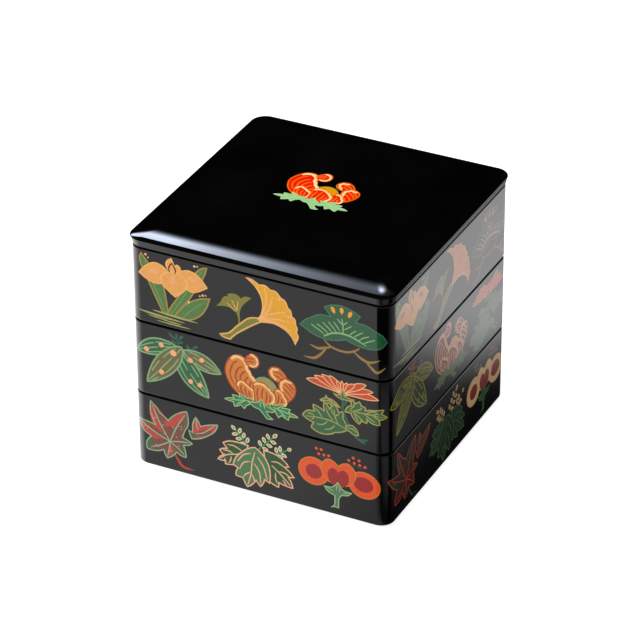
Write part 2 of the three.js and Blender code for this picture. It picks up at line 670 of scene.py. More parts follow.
class Piece(ABC):
    """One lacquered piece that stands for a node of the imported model."""

    node: str
    plan: SquarePlan
    page: BakePage

    def carried_round(self, skin: Skin, run: ProfileRun, kind: int, row: int, rows: int, top: float,
                      centres: np.ndarray | None = None) -> None:
        """Carries a run of the profile round the plan.

        Args:
            skin: the surface that takes the faces.
            run: the profile run.
            kind: number of its finish.
            row: which narrow row of the bake map it gets.
            rows: how many such rows there are.
            top: where on the map the narrow rows start.
            centres: distance of the corner centres at each point of the run, where they move.
        """
        halves, heights = run.points.T
        fixed = centres is None
        centres = np.full(len(halves), self.plan.centre) if fixed else centres
        rings = [self.plan.ring(half, centre) for half, centre in zip(halves, centres)]
        points = np.stack([np.column_stack([ring[0], np.full(len(ring[0]), height)])
                           for ring, height in zip(rings, heights)])
        outward = rings[0][1]
        drift = np.zeros(len(halves)) if fixed else np.gradient(centres, halves)
        spread = np.abs(outward).sum(axis=1)
        spacing = 1 + drift[:, None] * (spread - 1)
        normals = np.concatenate([run.normals[:, None, :1] * outward[None],
                                  (run.normals[:, 1][:, None] * spacing)[..., None]], axis=2)
        normals /= np.linalg.norm(normals, axis=2, keepdims=True)
        points = np.concatenate([points, points[:, :1]], axis=1)
        normals = np.concatenate([normals, normals[:, :1]], axis=1)
        across = np.linspace(self.page.left, 1 - self.page.left, points.shape[1])
        height = (1 - top) / rows
        up = top + height * (row + np.linspace(0.15, 0.85, len(halves)))
        places = np.stack(np.meshgrid(across, up), axis=2)
        skin.add(quads(points), quads(normals), quads(places), kind)

    def capped(self, skin: Skin, half: float, height: float, up: bool, kind: int,
               corner: tuple[float, float], size: float) -> None:
        """Closes a flat end of the profile with one face.

        Args:
            skin: the surface that takes the face.
            half: half width of the end's ring.
            height: its height.
            up: whether it faces up.
            kind: number of its finish.
            corner: its lower left corner on the bake map.
            size: its width on the bake map.
        """
        ring = self.plan.ring(half)[0]
        ring = ring if up else ring[::-1]
        points = np.column_stack([ring, np.full(len(ring), height)])
        normals = np.tile([0.0, 0.0, 1.0 if up else -1.0], (len(ring), 1))
        places = np.array(corner) + (ring / (2 * half) + 0.5) * size
        skin.add(points[None], normals[None], places[None], kind)

    def settle(self, made: bpy.types.Object) -> None:
        """Puts the finished piece in its node's place in the frame."""
        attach(made, BODY)
        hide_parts(self.node)
        LOG.info("%s: %d faces, %d vertices, stands for %s", made.name, len(made.data.polygons),
                 len(made.data.vertices), self.node)


def quads(grid: np.ndarray) -> np.ndarray:
    """Cuts a grid of values into its cells.

    Args:
        grid: row by column by value, the rows running along the profile.

    Returns:
        Cell by corner by value, anticlockwise as seen from the side that the normals point to.
    """
    cells = np.stack([grid[:-1, :-1], grid[:-1, 1:], grid[1:, 1:], grid[1:, :-1]], axis=2)
    return cells.reshape(-1, 4, grid.shape[2])


@dataclass
class Tier(Piece):
    """One tier: foot, painted wall with round edges, mouth, inner wall and filleted inner floor."""

    node: str
    base: float
    plants: list["Plant"]
    seam: float
    plan: SquarePlan = field(default_factory=SquarePlan)
    foot_height: float = 2.5
    foot_half: float = 92.4
    wall_height: float = 57.4
    wall_thickness: float = 4.5
    floor_thickness: float = 4.0
    edge_round: float = 1.5
    mouth_round: float = 0.5
    fillet: float = 3.0
    page: BakePage = BakePage()

    def profile(self) -> list[ProfileRun]:
        """Lists the bare runs from under the foot to the inner floor, heights from the base."""
        half, edge, lip = self.plan.half, self.edge_round, self.mouth_round
        low, high = self.foot_height, self.foot_height + self.wall_height
        mouth = half - self.wall_thickness
        floor = low + self.floor_thickness
        return [
            ProfileRun.straight((self.foot_half, 0), (self.foot_half, low)),
            ProfileRun.straight((self.foot_half, low), (half - edge, low)),
            ProfileRun.round((half - edge, low + edge), edge, edge, -90, 0, 8),
            ProfileRun.round((half - edge, high - edge), edge, edge, 0, 90, 8),
            ProfileRun.straight((half - edge, high), (mouth + lip, high)),
            ProfileRun.round((mouth + lip, high - lip), lip, lip, 90, 180, 4),
            ProfileRun.straight((mouth, high - lip), (mouth, floor + self.fillet)),
            ProfileRun.round((mouth - self.fillet, floor + self.fillet), self.fillet, self.fillet,
                             0, -90, 6, hollow=True),
        ]

    def painted_wall(self, skin: Skin) -> None:
        """Cuts the unrolled outer wall along its paintings and rolls it back up into the skin."""
        plan = self.plan
        low = self.foot_height + self.edge_round
        high = self.foot_height + self.wall_height - self.edge_round
        start = plan.pitch * 2 + self.seam - plan.around
        columns = np.sort((plan.unrolled() - start) % plan.around + start)
        ring = np.concatenate([[start], columns, [start + plan.around]])
        boundary = np.concatenate([np.column_stack([ring, np.full(len(ring), low)]),
                                   np.column_stack([ring, np.full(len(ring), high)])[::-1]])
        creases = [np.array([[column, low], [column, high]]) for column in columns]
        areas = []
        for wall in range(-2, 3):
            for plant in self.plants:
                for area in plant.areas(wall):
                    outline = area.outline + [wall * plan.pitch, 0]
                    middle = outline[:, 0].mean()
                    if start < middle < start + plan.around:
                        areas.append(Area(outline, area.colour))
        points, triangles, shown = PaintedSheet(boundary, creases, areas).cut()
        for level in (low, high):
            edge = np.abs(points[:, 1] - level) < WELD_CELL
            nearest = np.abs(points[edge, 0][:, None] - ring[None]).argmin(axis=1)
            points[edge] = np.column_stack([ring[nearest], np.full(edge.sum(), level)])
        plan_points, plan_normals = plan.rolled(points[:, 0])
        corners = np.column_stack([plan_points, points[:, 1] + self.base])[triangles]
        normals = np.column_stack([plan_normals, np.zeros(len(points))])[triangles]
        wall = np.round(points[triangles].mean(axis=1)[:, 0] / plan.pitch)
        along = points[triangles][..., 0] - (wall * plan.pitch)[:, None]
        height = points[triangles][..., 1] - low
        places = self.page.wall(along, height, np.tile(wall[:, None], 3), plan.pitch)
        colours = np.array([area.colour for area in areas] + [BARE])[shown]
        skin.add(corners, normals, places, np.where(shown < 0, POLISHED, PAINTED), colours)

    def make(self, finishes: list[bpy.types.Material]) -> bpy.types.Object:
        """Builds the tier.

        Args:
            finishes: the polished lacquer, the lacquer of the inner faces and the underside, and
                the plants' paint.

        Returns:
            The finished piece.
        """
        skin = Skin(self.node + "_painted", finishes)
        self.painted_wall(skin)
        runs = self.profile()
        top = self.page.bottom + 4 * self.page.strip_height * self.page.scale
        for row, run in enumerate(runs):
            # The foot's two runs and those past the rounded mouth are dull
            kind = DULL if row < 2 or row > 5 else POLISHED
            lifted = ProfileRun(run.points + [0, self.base], run.normals)
            self.carried_round(skin, lifted, kind, row, len(runs), top)
        gap = self.page.gap
        beside = self.page.left + self.plan.pitch * self.page.scale + gap
        size = self.page.right - beside
        floor = self.base + self.foot_height + self.floor_thickness
        self.capped(skin, self.foot_half, self.base, False, DULL, (beside, gap), size)
        self.capped(skin, self.plan.half - self.wall_thickness - self.fillet, floor, True, DULL,
                    (beside, 2 * gap + size), size)
        made = skin.build()
        self.settle(made)
        return made


@dataclass
class Lid(Piece):
    """The lid: lip and hollow underneath, a short skirt, a rolled edge and the painted top."""

    node: str
    seam: float
    bloom: "Plant"
    plan: SquarePlan = field(default_factory=lambda: SquarePlan(half=99.0))
    lip_half: float = 92.4
    lip_thickness: float = 3.0
    lip_height: float = 2.5
    seam_half: float = 97.9
    edge_round: float = 1.5
    skirt_height: float = 5.6
    roll_width: float = 22.0
    roll_height: float = 3.2
    thickness: float = 4.0
    inner_radius: float = 3.4
    rows_start: float = 0.68
    page: BakePage = BakePage()

    def profile(self) -> list[ProfileRun]:
        """Lists the runs from the hollow underside to the top of the skirt, heights from the seam."""
        inner = self.lip_half - self.lip_thickness
        under = self.skirt_height + self.roll_height - self.thickness
        edge = self.edge_round
        return [
            ProfileRun.straight((inner, under), (inner, -self.lip_height)),
            ProfileRun.straight((inner, -self.lip_height), (self.lip_half, -self.lip_height)),
            ProfileRun.straight((self.lip_half, -self.lip_height), (self.lip_half, 0)),
            ProfileRun.straight((self.lip_half, 0), (self.seam_half - edge, 0)),
            ProfileRun.round((self.seam_half - edge, edge), edge, edge, -90, 0, 8),
            ProfileRun.straight((self.seam_half, edge), (self.plan.half, self.skirt_height)),
        ]

    def rolled_edge(self) -> tuple[ProfileRun, np.ndarray]:
        """Works out the rolled edge.

        Returns:
            The run over a quarter of an ellipse, and the distance of the corner centres at each of
            its points. Inwards the corner radius first shrinks as fast as the ring and then ever
            more slowly, as a power of the share that is left, so that the corner stays round.
        """
        half, width = self.plan.half, self.roll_width
        run = ProfileRun.round((half - width, self.skirt_height), width, self.roll_height, 0, 90, 28)
        left = np.clip(1 - (half - run.points[:, 0]) / width, 0, 1)
        drop = self.plan.radius - self.inner_radius
        return run, run.points[:, 0] - (self.inner_radius + drop * left ** (width / drop))

    def painted_top(self, skin: Skin, half: float, centre: float) -> None:
        """Cuts the flat top along the painted bloom.

        Args:
            skin: the surface that takes the faces.
            half: half width of the flat top.
            centre: distance of its corner centres.
        """
        boundary = self.plan.ring(half, centre)[0]
        areas = self.bloom.areas(0)
        points, triangles, shown = PaintedSheet(boundary, [], areas).cut()
        gaps = np.linalg.norm(points[:, None] - boundary[None], axis=2)
        nearest = gaps.argmin(axis=1)
        edge = gaps[np.arange(len(points)), nearest] < WELD_CELL
        points[edge] = boundary[nearest[edge]]
        top = self.seam + self.skirt_height + self.roll_height
        corners = np.column_stack([points, np.full(len(points), top)])[triangles]
        normals = np.broadcast_to([0.0, 0.0, 1.0], corners.shape)
        places = self.page.left + (points[triangles] + half) * self.page.scale
        colours = np.array([area.colour for area in areas] + [BARE])[shown]
        skin.add(corners, normals, places, np.where(shown < 0, POLISHED, PAINTED), colours)

    def make(self, finishes: list[bpy.types.Material]) -> bpy.types.Object:
        """Builds the lid.

        Args:
            finishes: the polished lacquer, the lacquer of the underside, and the bloom's paint.

        Returns:
            The finished piece.
        """
        skin = Skin(self.node + "_painted", finishes)
        runs = self.profile()
        top = self.rows_start
        for row, run in enumerate(runs):
            lifted = ProfileRun(run.points + [0, self.seam], run.normals)
            # The first four runs lie under the seam
            kind = DULL if row < 4 else POLISHED
            self.carried_round(skin, lifted, kind, row, len(runs) + 2, top)
        roll, centres = self.rolled_edge()
        lifted = ProfileRun(roll.points + [0, self.seam], roll.normals)
        self.carried_round(skin, lifted, POLISHED, len(runs), len(runs) + 2, top, centres)
        under = self.seam + self.skirt_height + self.roll_height - self.thickness
        gap = self.page.gap
        beside = self.page.left + 2 * (self.plan.half - self.roll_width) * self.page.scale + gap
        self.capped(skin, self.lip_half - self.lip_thickness, under, False, DULL, (beside, gap),
                    1 - gap - beside)
        self.painted_top(skin, float(roll.points[-1, 0]), float(centres[-1]))
        made = skin.build()
        self.settle(made)
        return made


# Drawing

def smooth_curve(points: Points, step: float = 1.3) -> np.ndarray:
    """Draws a smooth open curve through points.

    Args:
        points: places that it passes, in order.
        step: rough distance between the points made.

    Returns:
        Points on one cubic for each span, whose slope at a place is half the way from the place
        before it to the place after it.
    """
    knots = np.asarray(points, float)
    knots = np.concatenate([2 * knots[:1] - knots[1:2], knots, 2 * knots[-1:] - knots[-2:-1]])
    first, start, end, last = knots[:-3], knots[1:-2], knots[2:-1], knots[3:]
    longest = np.linalg.norm(end - start, axis=1).max()
    count = int(np.clip(round(longest / step), 2, 7))
    t = (np.arange(count) / count)[None, :, None]
    slope, leaving = (end - first)[:, None] / 2, (last - start)[:, None] / 2
    made = ((2 * t ** 3 - 3 * t ** 2 + 1) * start[:, None] + (t ** 3 - 2 * t ** 2 + t) * slope
            + (3 * t ** 2 - 2 * t ** 3) * end[:, None] + (t ** 3 - t ** 2) * leaving)
    return np.concatenate([made.reshape(-1, 2), knots[-2:-1]])


def outline(*runs: Points) -> np.ndarray:
    """Draws a closed outline of smooth runs that meet in corners; a run of two places is straight."""
    return np.concatenate([smooth_curve(run)[:-1] if len(run) > 2 else np.asarray(run[:1], float)
                           for run in runs])


def arched(corners: Points, bulge: float | list[float], steps: int = 4) -> np.ndarray:
    """Draws a closed outline whose sides are low arches.

    Args:
        corners: its corners.
        bulge: how far each side stands outwards at its middle, as a share of its length.
        steps: number of steps on a side.

    Returns:
        Each side's straight way plus bulge times its length times 4 t (1 - t), at right angles.
    """
    start = np.asarray(corners, float)
    way = np.roll(start, -1, axis=0) - start
    out = np.stack([way[:, 1], -way[:, 0]], axis=1) * math.copysign(1, signed_area(start))
    t = (np.arange(steps) / steps)[None, :, None]
    bow = np.broadcast_to(bulge, len(start))[:, None, None] * 4 * t * (1 - t)
    return (start[:, None] + t * way[:, None] + bow * out[:, None]).reshape(-1, 2)


def inset(shape: np.ndarray, width: float) -> np.ndarray:
    """Moves an outline inwards by a width, along the mean normal of the two sides at each point."""
    way = np.roll(shape, -1, axis=0) - shape
    way = way / np.maximum(np.linalg.norm(way, axis=1, keepdims=True), 1e-9)
    inward = np.stack([-way[:, 1], way[:, 0]], axis=1) * math.copysign(1, signed_area(shape))
    both = inward + np.roll(inward, 1, axis=0)
    return shape + 2 * width * both / np.maximum(np.sum(both ** 2, axis=1, keepdims=True), 0.35)


def brushed(points: Points, width: float, tips: tuple[float, float] = (0.5, 0.5),
            smooth: bool = True) -> np.ndarray:
    """Draws a brush stroke.

    Args:
        points: places that it passes.
        width: its full width, near the middle.
        tips: its width at the start and the end, as shares of the full width.
        smooth: whether a smooth curve is laid through the places first.

    Returns:
        Its outline. The width swells from one tip to the other by the sine of the way, and both
        ends are round.
    """
    line = smooth_curve(points) if smooth else np.asarray(points, float)
    t = np.linspace(0, 1, len(line))
    way = np.gradient(line, axis=0)
    way /= np.maximum(np.linalg.norm(way, axis=1, keepdims=True), 1e-9)
    aside = np.stack([-way[:, 1], way[:, 0]], axis=1)
    ends = tips[0] + (tips[1] - tips[0]) * t
    half = (width / 2 * (ends + (1 - ends) * np.sin(math.pi * t) ** 0.7))[:, None]
    cap = np.radians([60, 0, -60])[:, None]
    far = line[-1] + half[-1] * (np.cos(cap) * way[-1] + np.sin(cap) * aside[-1])
    near = line[0] - half[0] * (np.cos(cap) * way[0] + np.sin(cap) * aside[0])
    return np.concatenate([line + half * aside, far, (line - half * aside)[::-1], near])


def dot(x: float, y: float, across: float, high: float | None = None, turn: float = 0.0,
        steps: int = 12) -> np.ndarray:
    """Draws an ellipse of two half axes, turned by degrees; it is a circle without the second."""
    angle = np.arange(steps) * 2 * math.pi / steps
    axes = np.stack([across * np.cos(angle), (high or across) * np.sin(angle)], axis=1)
    cos, sin = math.cos(math.radians(turn)), math.sin(math.radians(turn))
    return axes @ np.array([[cos, sin], [-sin, cos]]) + [x, y]


@dataclass(frozen=True)
class Blade:
    """A pointed leaf or petal about a curved rib.

    Its half width at the share t of its length is the sine of pi t to a power that puts the
    fullest place where it belongs, raised to the fulness.
    """

    base: tuple[float, float]
    tip: tuple[float, float]
    width: float
    bend: float = 0.0
    fullest: float = 0.45
    fulness: float = 0.8

    def at(self, along: np.ndarray, aside: np.ndarray | float) -> np.ndarray:
        """Finds places on the blade.

        Args:
            along: shares of its length, 0 at the base and 1 at the tip.
            aside: shares of its half width, -1 on the right and 1 on the left.

        Returns:
            The places: the rib is the straight way plus bend times 4 t (1 - t) to its left.
        """
        along, aside = np.broadcast_arrays(np.asarray(along, float), np.asarray(aside, float))
        way = np.subtract(self.tip, self.base)
        left = np.array([-way[1], way[0]])
        rib = self.base + along[:, None] * way + (4 * self.bend * along * (1 - along))[:, None] * left
        slope = way + (4 * self.bend * (1 - 2 * along))[:, None] * left
        slope /= np.linalg.norm(slope, axis=1, keepdims=True)
        across = np.stack([-slope[:, 1], slope[:, 0]], axis=1)
        power = math.log(0.5) / math.log(self.fullest)
        half = self.width / 2 * np.sin(math.pi * along ** power) ** self.fulness
        return rib + (aside * half)[:, None] * across

    def shape(self, steps: int = 14) -> np.ndarray:
        """Draws the blade's outline."""
        t = (1 - np.cos(np.linspace(0, math.pi, steps + 1))) / 2
        return np.concatenate([self.at(t[:-1], -1), self.at(t[::-1][:-1], 1)])

    def stripe(self, start: float, end: float, aside: float, width: float) -> np.ndarray:
        """Draws a stroke along the blade at one share of its half width."""
        return brushed(self.at(np.linspace(start, end, 7), aside), width, (0.8, 0.8), smooth=False)


class Sketch:
    """Painted areas laid one over another."""

    def __init__(self, wall: int, swap: dict[Paint, Paint]) -> None:
        """Starts empty, for one wall, with the paints that stand in for others."""
        self.wall = wall
        self.swap = swap
        self.areas: list[Area] = []

    def fill(self, shape: np.ndarray, paint: Paint) -> None:
        """Fills an outline."""
        self.areas.append(Area(shape, self.swap.get(paint, paint).colour(self.wall)))

    def rimmed(self, shape: np.ndarray, rim: Paint, paint: Paint, width: float) -> None:
        """Fills an outline and leaves a rim of another paint round it."""
        self.fill(shape, rim)
        self.fill(inset(shape, width), paint)

    def strokes(self, paint: Paint, width: float, tips: tuple[float, float], *lines: Points) -> None:
        """Draws brush strokes that share a paint and a width."""
        for line in lines:
            self.fill(brushed(line, width, tips), paint)

    def spots(self, paint: Paint, across: float, *places: tuple[float, float]) -> None:
        """Draws equal round spots."""
        for x, y in places:
            self.fill(dot(x, y, across), paint)


class Plant(ABC):
    """One painted plant: x runs to the right from the wall's middle, y up from the tier's base."""

    def areas(self, wall: int) -> list[Area]:
        """Gives the plant's areas in the colours of a wall."""
        sketch = Sketch(wall, {})
        self.draw(sketch)
        return sketch.areas

    @abstractmethod
    def draw(self, sketch: Sketch) -> None:
        """Draws the plant, from the back to the front."""


class Iris(Plant):
    """An iris over three sword leaves that stand in water."""

    def draw(self, sketch: Sketch) -> None:
        """Draws leaves, petals, tongue, blushes, pollen and water."""
        leaves = (
            (outline([(-71.6, 12.6), (-77.4, 24.6), (-82, 34.6), (-87.4, 46), (-88.6, 53), (-86.8, 57)],
                     [(-86.8, 57), (-81, 50), (-73.4, 42), (-69.4, 32), (-66.4, 12)],
                     [(-66.4, 12), (-71.6, 12.6)]),
             [(-69.4, 14), (-75, 27), (-79.6, 38), (-84.8, 52)]),
            (outline([(-69.2, 12), (-65.4, 20), (-61, 27), (-53.6, 40), (-47, 50), (-41.4, 55.6),
                      (-36.4, 57.2)],
                     [(-36.4, 57.2), (-38.6, 50), (-44, 40), (-51, 28), (-58, 18.6), (-62, 12)],
                     [(-62, 12), (-69.2, 12)]),
             [(-65, 14), (-57.4, 26), (-48.6, 42), (-40, 53.6)]),
            (outline([(-63.6, 12.4), (-59, 19), (-52.6, 26), (-43.6, 31.6), (-34.6, 34)],
                     [(-34.6, 34), (-37, 26.6), (-41, 19.6), (-46, 15), (-51.4, 12)],
                     [(-51.4, 12), (-63.6, 12.4)]),
             [(-56, 14), (-49.6, 20.6), (-40, 29.6)]))
        for leaf, rib in leaves:
            sketch.rimmed(leaf, Paint.OCHRE, Paint.IRIS_GREEN, 1.1)
            sketch.strokes(Paint.IRIS_RIB, 0.9, (0.7, 0.4), rib)
        petals = (
            outline([(-89.5, 40.6), (-85, 46.4), (-78, 51.2), (-71, 50.4), (-65, 45), (-62.5, 40)],
                    [(-62.5, 40), (-70, 36.2), (-77, 34.8), (-83.5, 36.6), (-89.5, 40.6)]),
            outline([(-36.5, 41.2), (-41, 46.8), (-46, 50.4), (-52, 51.4), (-58, 48.6), (-62, 42)],
                    [(-62, 42), (-55, 37), (-49.5, 34.8), (-44, 36.2), (-36.5, 41.2)]),
            outline([(-66, 46.4), (-68.6, 51.6), (-67, 55.6), (-63.8, 57.8)],
                    [(-63.8, 57.8), (-62.2, 54.4), (-60.4, 50), (-60.6, 46.4)]),
            outline([(-62, 46.4), (-61.6, 51), (-60, 53.6), (-57.4, 52.4), (-56.6, 48.8), (-58.6, 46)],
                    [(-58.6, 46), (-62, 46.4)]),
            outline([(-61.6, 27.6), (-56, 32.4), (-52.4, 37.6), (-52.8, 43), (-57.6, 46.8), (-63, 47.2),
                     (-69, 45.6), (-72.8, 40.8), (-71.6, 35.6), (-67, 31.4), (-61.6, 27.6)]))
        for petal in petals:
            sketch.rimmed(petal, Paint.APRICOT_RIM, Paint.APRICOT, 0.8)
        sketch.strokes(Paint.UMBER, 1.1, (0.7, 0.7),
                       [(-65.6, 46.6), (-66, 49.6), (-64.8, 52.2), (-63.4, 53.8)],
                       [(-63.4, 53.8), (-62, 51.6), (-61, 49), (-61.2, 46.6)])
        for blush in ((-77.5, 44.2, 3.8, 1.8, 8), (-48.6, 45, 3.6, 1.6, -24), (-63, 41.5, 1.5, 3.8, 6)):
            sketch.fill(dot(*blush), Paint.BLUSH)
        sketch.spots(Paint.PALE_SPOT, 0.9, (-83.4, 55.8), (-46.4, 55.6), (-40.6, 34.6), (-51.2, 26.8))
        sketch.spots(Paint.PALE_SPOT, 0.6, (-81.6, 53.8), (-44.2, 56), (-42.8, 33.6), (-38.4, 35))
        sketch.strokes(Paint.WATER, 1.7, (0.1, 0.1), [(-79.5, 13.6), (-70, 13), (-58, 12.4), (-45, 12)],
                       [(-91, 11.6), (-80, 10.6), (-68, 9.9), (-55, 9.4)])
        sketch.strokes(Paint.WATER, 1.0, (0.1, 0.1), [(-83, 9), (-76, 8.5), (-68, 8.2)],
                       [(-72, 7.9), (-64, 7.5), (-57, 7.4)], [(-77, 6.2), (-63, 5.9), (-50, 5.8)])


class Ginkgo(Plant):
    """A large fan leaf on a thick stalk and a small one behind it."""

    def draw(self, sketch: Sketch) -> None:
        """Draws the small leaf, the stalk and the large leaf with their veins."""
        small = outline([(-30.5, 29.4), (-24.5, 30.8), (-18.5, 30.4), (-15.4, 28)],
                        [(-15.4, 28), (-14.2, 24), (-14, 18.2)], [(-14, 18.2), (-12.6, 18.4)],
                        [(-12.6, 18.4), (-12.8, 24), (-12.6, 30), (-9.6, 36), (-3.8, 42)],
                        [(-3.8, 42), (-8.4, 42.2), (-11.8, 39.9)],
                        [(-11.8, 39.9), (-14.6, 42), (-18.6, 42), (-22.4, 40.4)],
                        [(-22.4, 40.4), (-20.8, 39.2)],
                        [(-20.8, 39.2), (-24.4, 38.2), (-26.4, 35.2), (-27.4, 33)],
                        [(-27.4, 33), (-30.5, 29.4)])
        sketch.fill(small, Paint.OLIVE)
        sketch.strokes(Paint.WHEAT, 0.8, (0.7, 0.5), [(-22, 33.6), (-18.6, 30.6), (-15.6, 28.4)],
                       [(-18.6, 36.8), (-16.8, 33), (-15.2, 29.6)],
                       [(-14, 36.8), (-14.6, 33), (-14.8, 29.6)])
        stalk = outline([(3, 28.6), (-2, 28), (-7.4, 25.8), (-15.5, 18), (-21.6, 11.4), (-29, 8.4)],
                        [(-29, 8.4), (-26, 6), (-20.4, 5.4)],
                        [(-20.4, 5.4), (-16.2, 10.2), (-10.6, 15), (-3.4, 20.6), (3, 25)],
                        [(3, 25), (3, 28.6)])
        sketch.rimmed(stalk, Paint.WHEAT, Paint.OLIVE, 1.2)
        fan = outline([(0.2, 27), (3, 32), (4, 39), (2.4, 46), (-2, 52.4), (-8.4, 57.2)],
                      [(-8.4, 57.2), (-3.4, 57), (2, 54.2)], [(2, 54.2), (6.4, 54.8), (10.4, 52.4)],
                      [(10.4, 52.4), (14.6, 52), (18.4, 48)], [(18.4, 48), (21.4, 46.6), (23.6, 41.6)],
                      [(23.6, 41.6), (25.6, 40), (26.4, 35.6)], [(26.4, 35.6), (28.6, 34.2), (29.4, 29.6)],
                      [(29.4, 29.6), (30.4, 27), (29.8, 24.6)], [(29.8, 24.6), (31, 20.4), (28.4, 14)],
                      [(28.4, 14), (25.6, 19.4), (20.4, 23.8), (13.4, 26.2), (7.4, 25.9), (3, 25)],
                      [(3, 25), (0.2, 27)])
        sketch.rimmed(fan, Paint.PEACH, Paint.GINKGO, 0.95)
        sketch.strokes(Paint.PEACH, 1.1, (0.7, 0.6), [(6, 52), (7.2, 44), (5.6, 36.4), (2.4, 28.6)],
                       [(11.8, 46.6), (9.4, 38), (5.4, 31.6), (2, 28)],
                       [(21, 37.6), (12.6, 34.6), (6.6, 31), (2.2, 27.6)],
                       [(24, 30.4), (15.4, 30.6), (8.4, 29.4), (2.4, 27.4)],
                       [(25.2, 23.6), (17.4, 27.2), (9.4, 28), (2.4, 27)])
        sketch.strokes(Paint.PEACH, 1.4, (0.5, 0.6), [(17.6, 47.8), (16, 45.4)],
                       [(26, 35), (23.4, 34.8), (20, 35.6)])


class Pine(Plant):
    """A pine crown of two flat clouds over bare branches."""

    def draw(self, sketch: Sketch) -> None:
        """Draws the branches, the crown, its cones and its needles."""
        sketch.strokes(Paint.BRANCH, 1.7, (0.5, 0.6),
                       [(50, 24), (54, 20.6), (60, 18.8), (67, 19), (72.4, 21.4), (75.4, 24)])
        sketch.strokes(Paint.BRANCH, 2.1, (0.35, 0.1), [(55.4, 20), (50.4, 18), (45.4, 16.4), (39, 18)],
                       [(51.4, 17.8), (46.6, 11.6), (42, 8), (34.6, 7.6)],
                       [(71.6, 20.4), (77, 16.8), (83, 15.2), (90.6, 18.4)],
                       [(80, 15.8), (84, 11.8), (88.6, 8.8), (94.6, 13)])
        crown = outline([(31.5, 31.6), (35.4, 36), (40.6, 39.6)], [(40.6, 39.6), (46.4, 43), (54, 43.4)],
                        [(54, 43.4), (51.4, 47), (49.6, 49.4)],
                        [(49.6, 49.4), (55, 52.4), (62.4, 53.6), (70, 52), (76.8, 48.8)],
                        [(76.8, 48.8), (74.6, 45.6), (73.4, 43.6)], [(73.4, 43.6), (81, 43), (88.4, 40)],
                        [(88.4, 40), (92.4, 37.4), (95.6, 32)],
                        [(95.6, 32), (91.4, 27.4), (84.4, 25.2), (76.6, 25.2), (70, 26.4), (65.6, 28)],
                        [(65.6, 28), (59.4, 25.6), (50.6, 24.6), (41.4, 26.2), (31.5, 31.6)])
        sketch.rimmed(crown, Paint.PINE_RIM, Paint.PINE, 0.6)
        for base, tip in (((55.4, 51.1), (57.6, 46.2)), ((62.7, 52), (62.7, 47)),
                          ((69.8, 50.5), (67.6, 45.6))):
            sketch.fill(Blade(base, tip, 2.9, 0.0, 0.4, 0.6).shape(8), Paint.AMBER)
        sketch.strokes(Paint.NEEDLE, 1.4, (0.75, 0.4),
                       [(50, 27.2), (56, 30.8), (64, 32.2), (72, 30.8), (80.6, 27.2)])
        sketch.strokes(Paint.NEEDLE, 0.85, (0.4, 0.9), [(50, 28.6), (45, 31.4), (40.6, 33.6)],
                       [(53, 29.6), (49, 32.6), (44.8, 35)], [(56, 31.2), (52.4, 34.4), (48.8, 37.2)],
                       [(59, 32), (56, 35.6), (53, 38.6)], [(61.6, 33.6), (59.2, 36.8), (57, 39.6)],
                       [(68, 32), (70.4, 34.6), (73, 36.8)], [(71.4, 31.6), (74.6, 34.4), (77.8, 36.6)],
                       [(75, 30), (78.4, 32.8), (82.4, 34.8)], [(78.4, 28.6), (82.4, 31), (86.6, 33.2)],
                       [(64.4, 35.4), (67, 37.4), (69.6, 39.4)])
        sketch.strokes(Paint.NEEDLE, 1.0, (0.6, 0.7), [(63.6, 32), (63.6, 37.6), (62.8, 43.4)])
        sketch.strokes(Paint.NEEDLE, 0.9, (0.6, 0.8), [(63.4, 39), (61.4, 40.6), (59.6, 42.6)],
                       [(63.4, 39), (65.2, 40.2), (66.6, 41.8)])


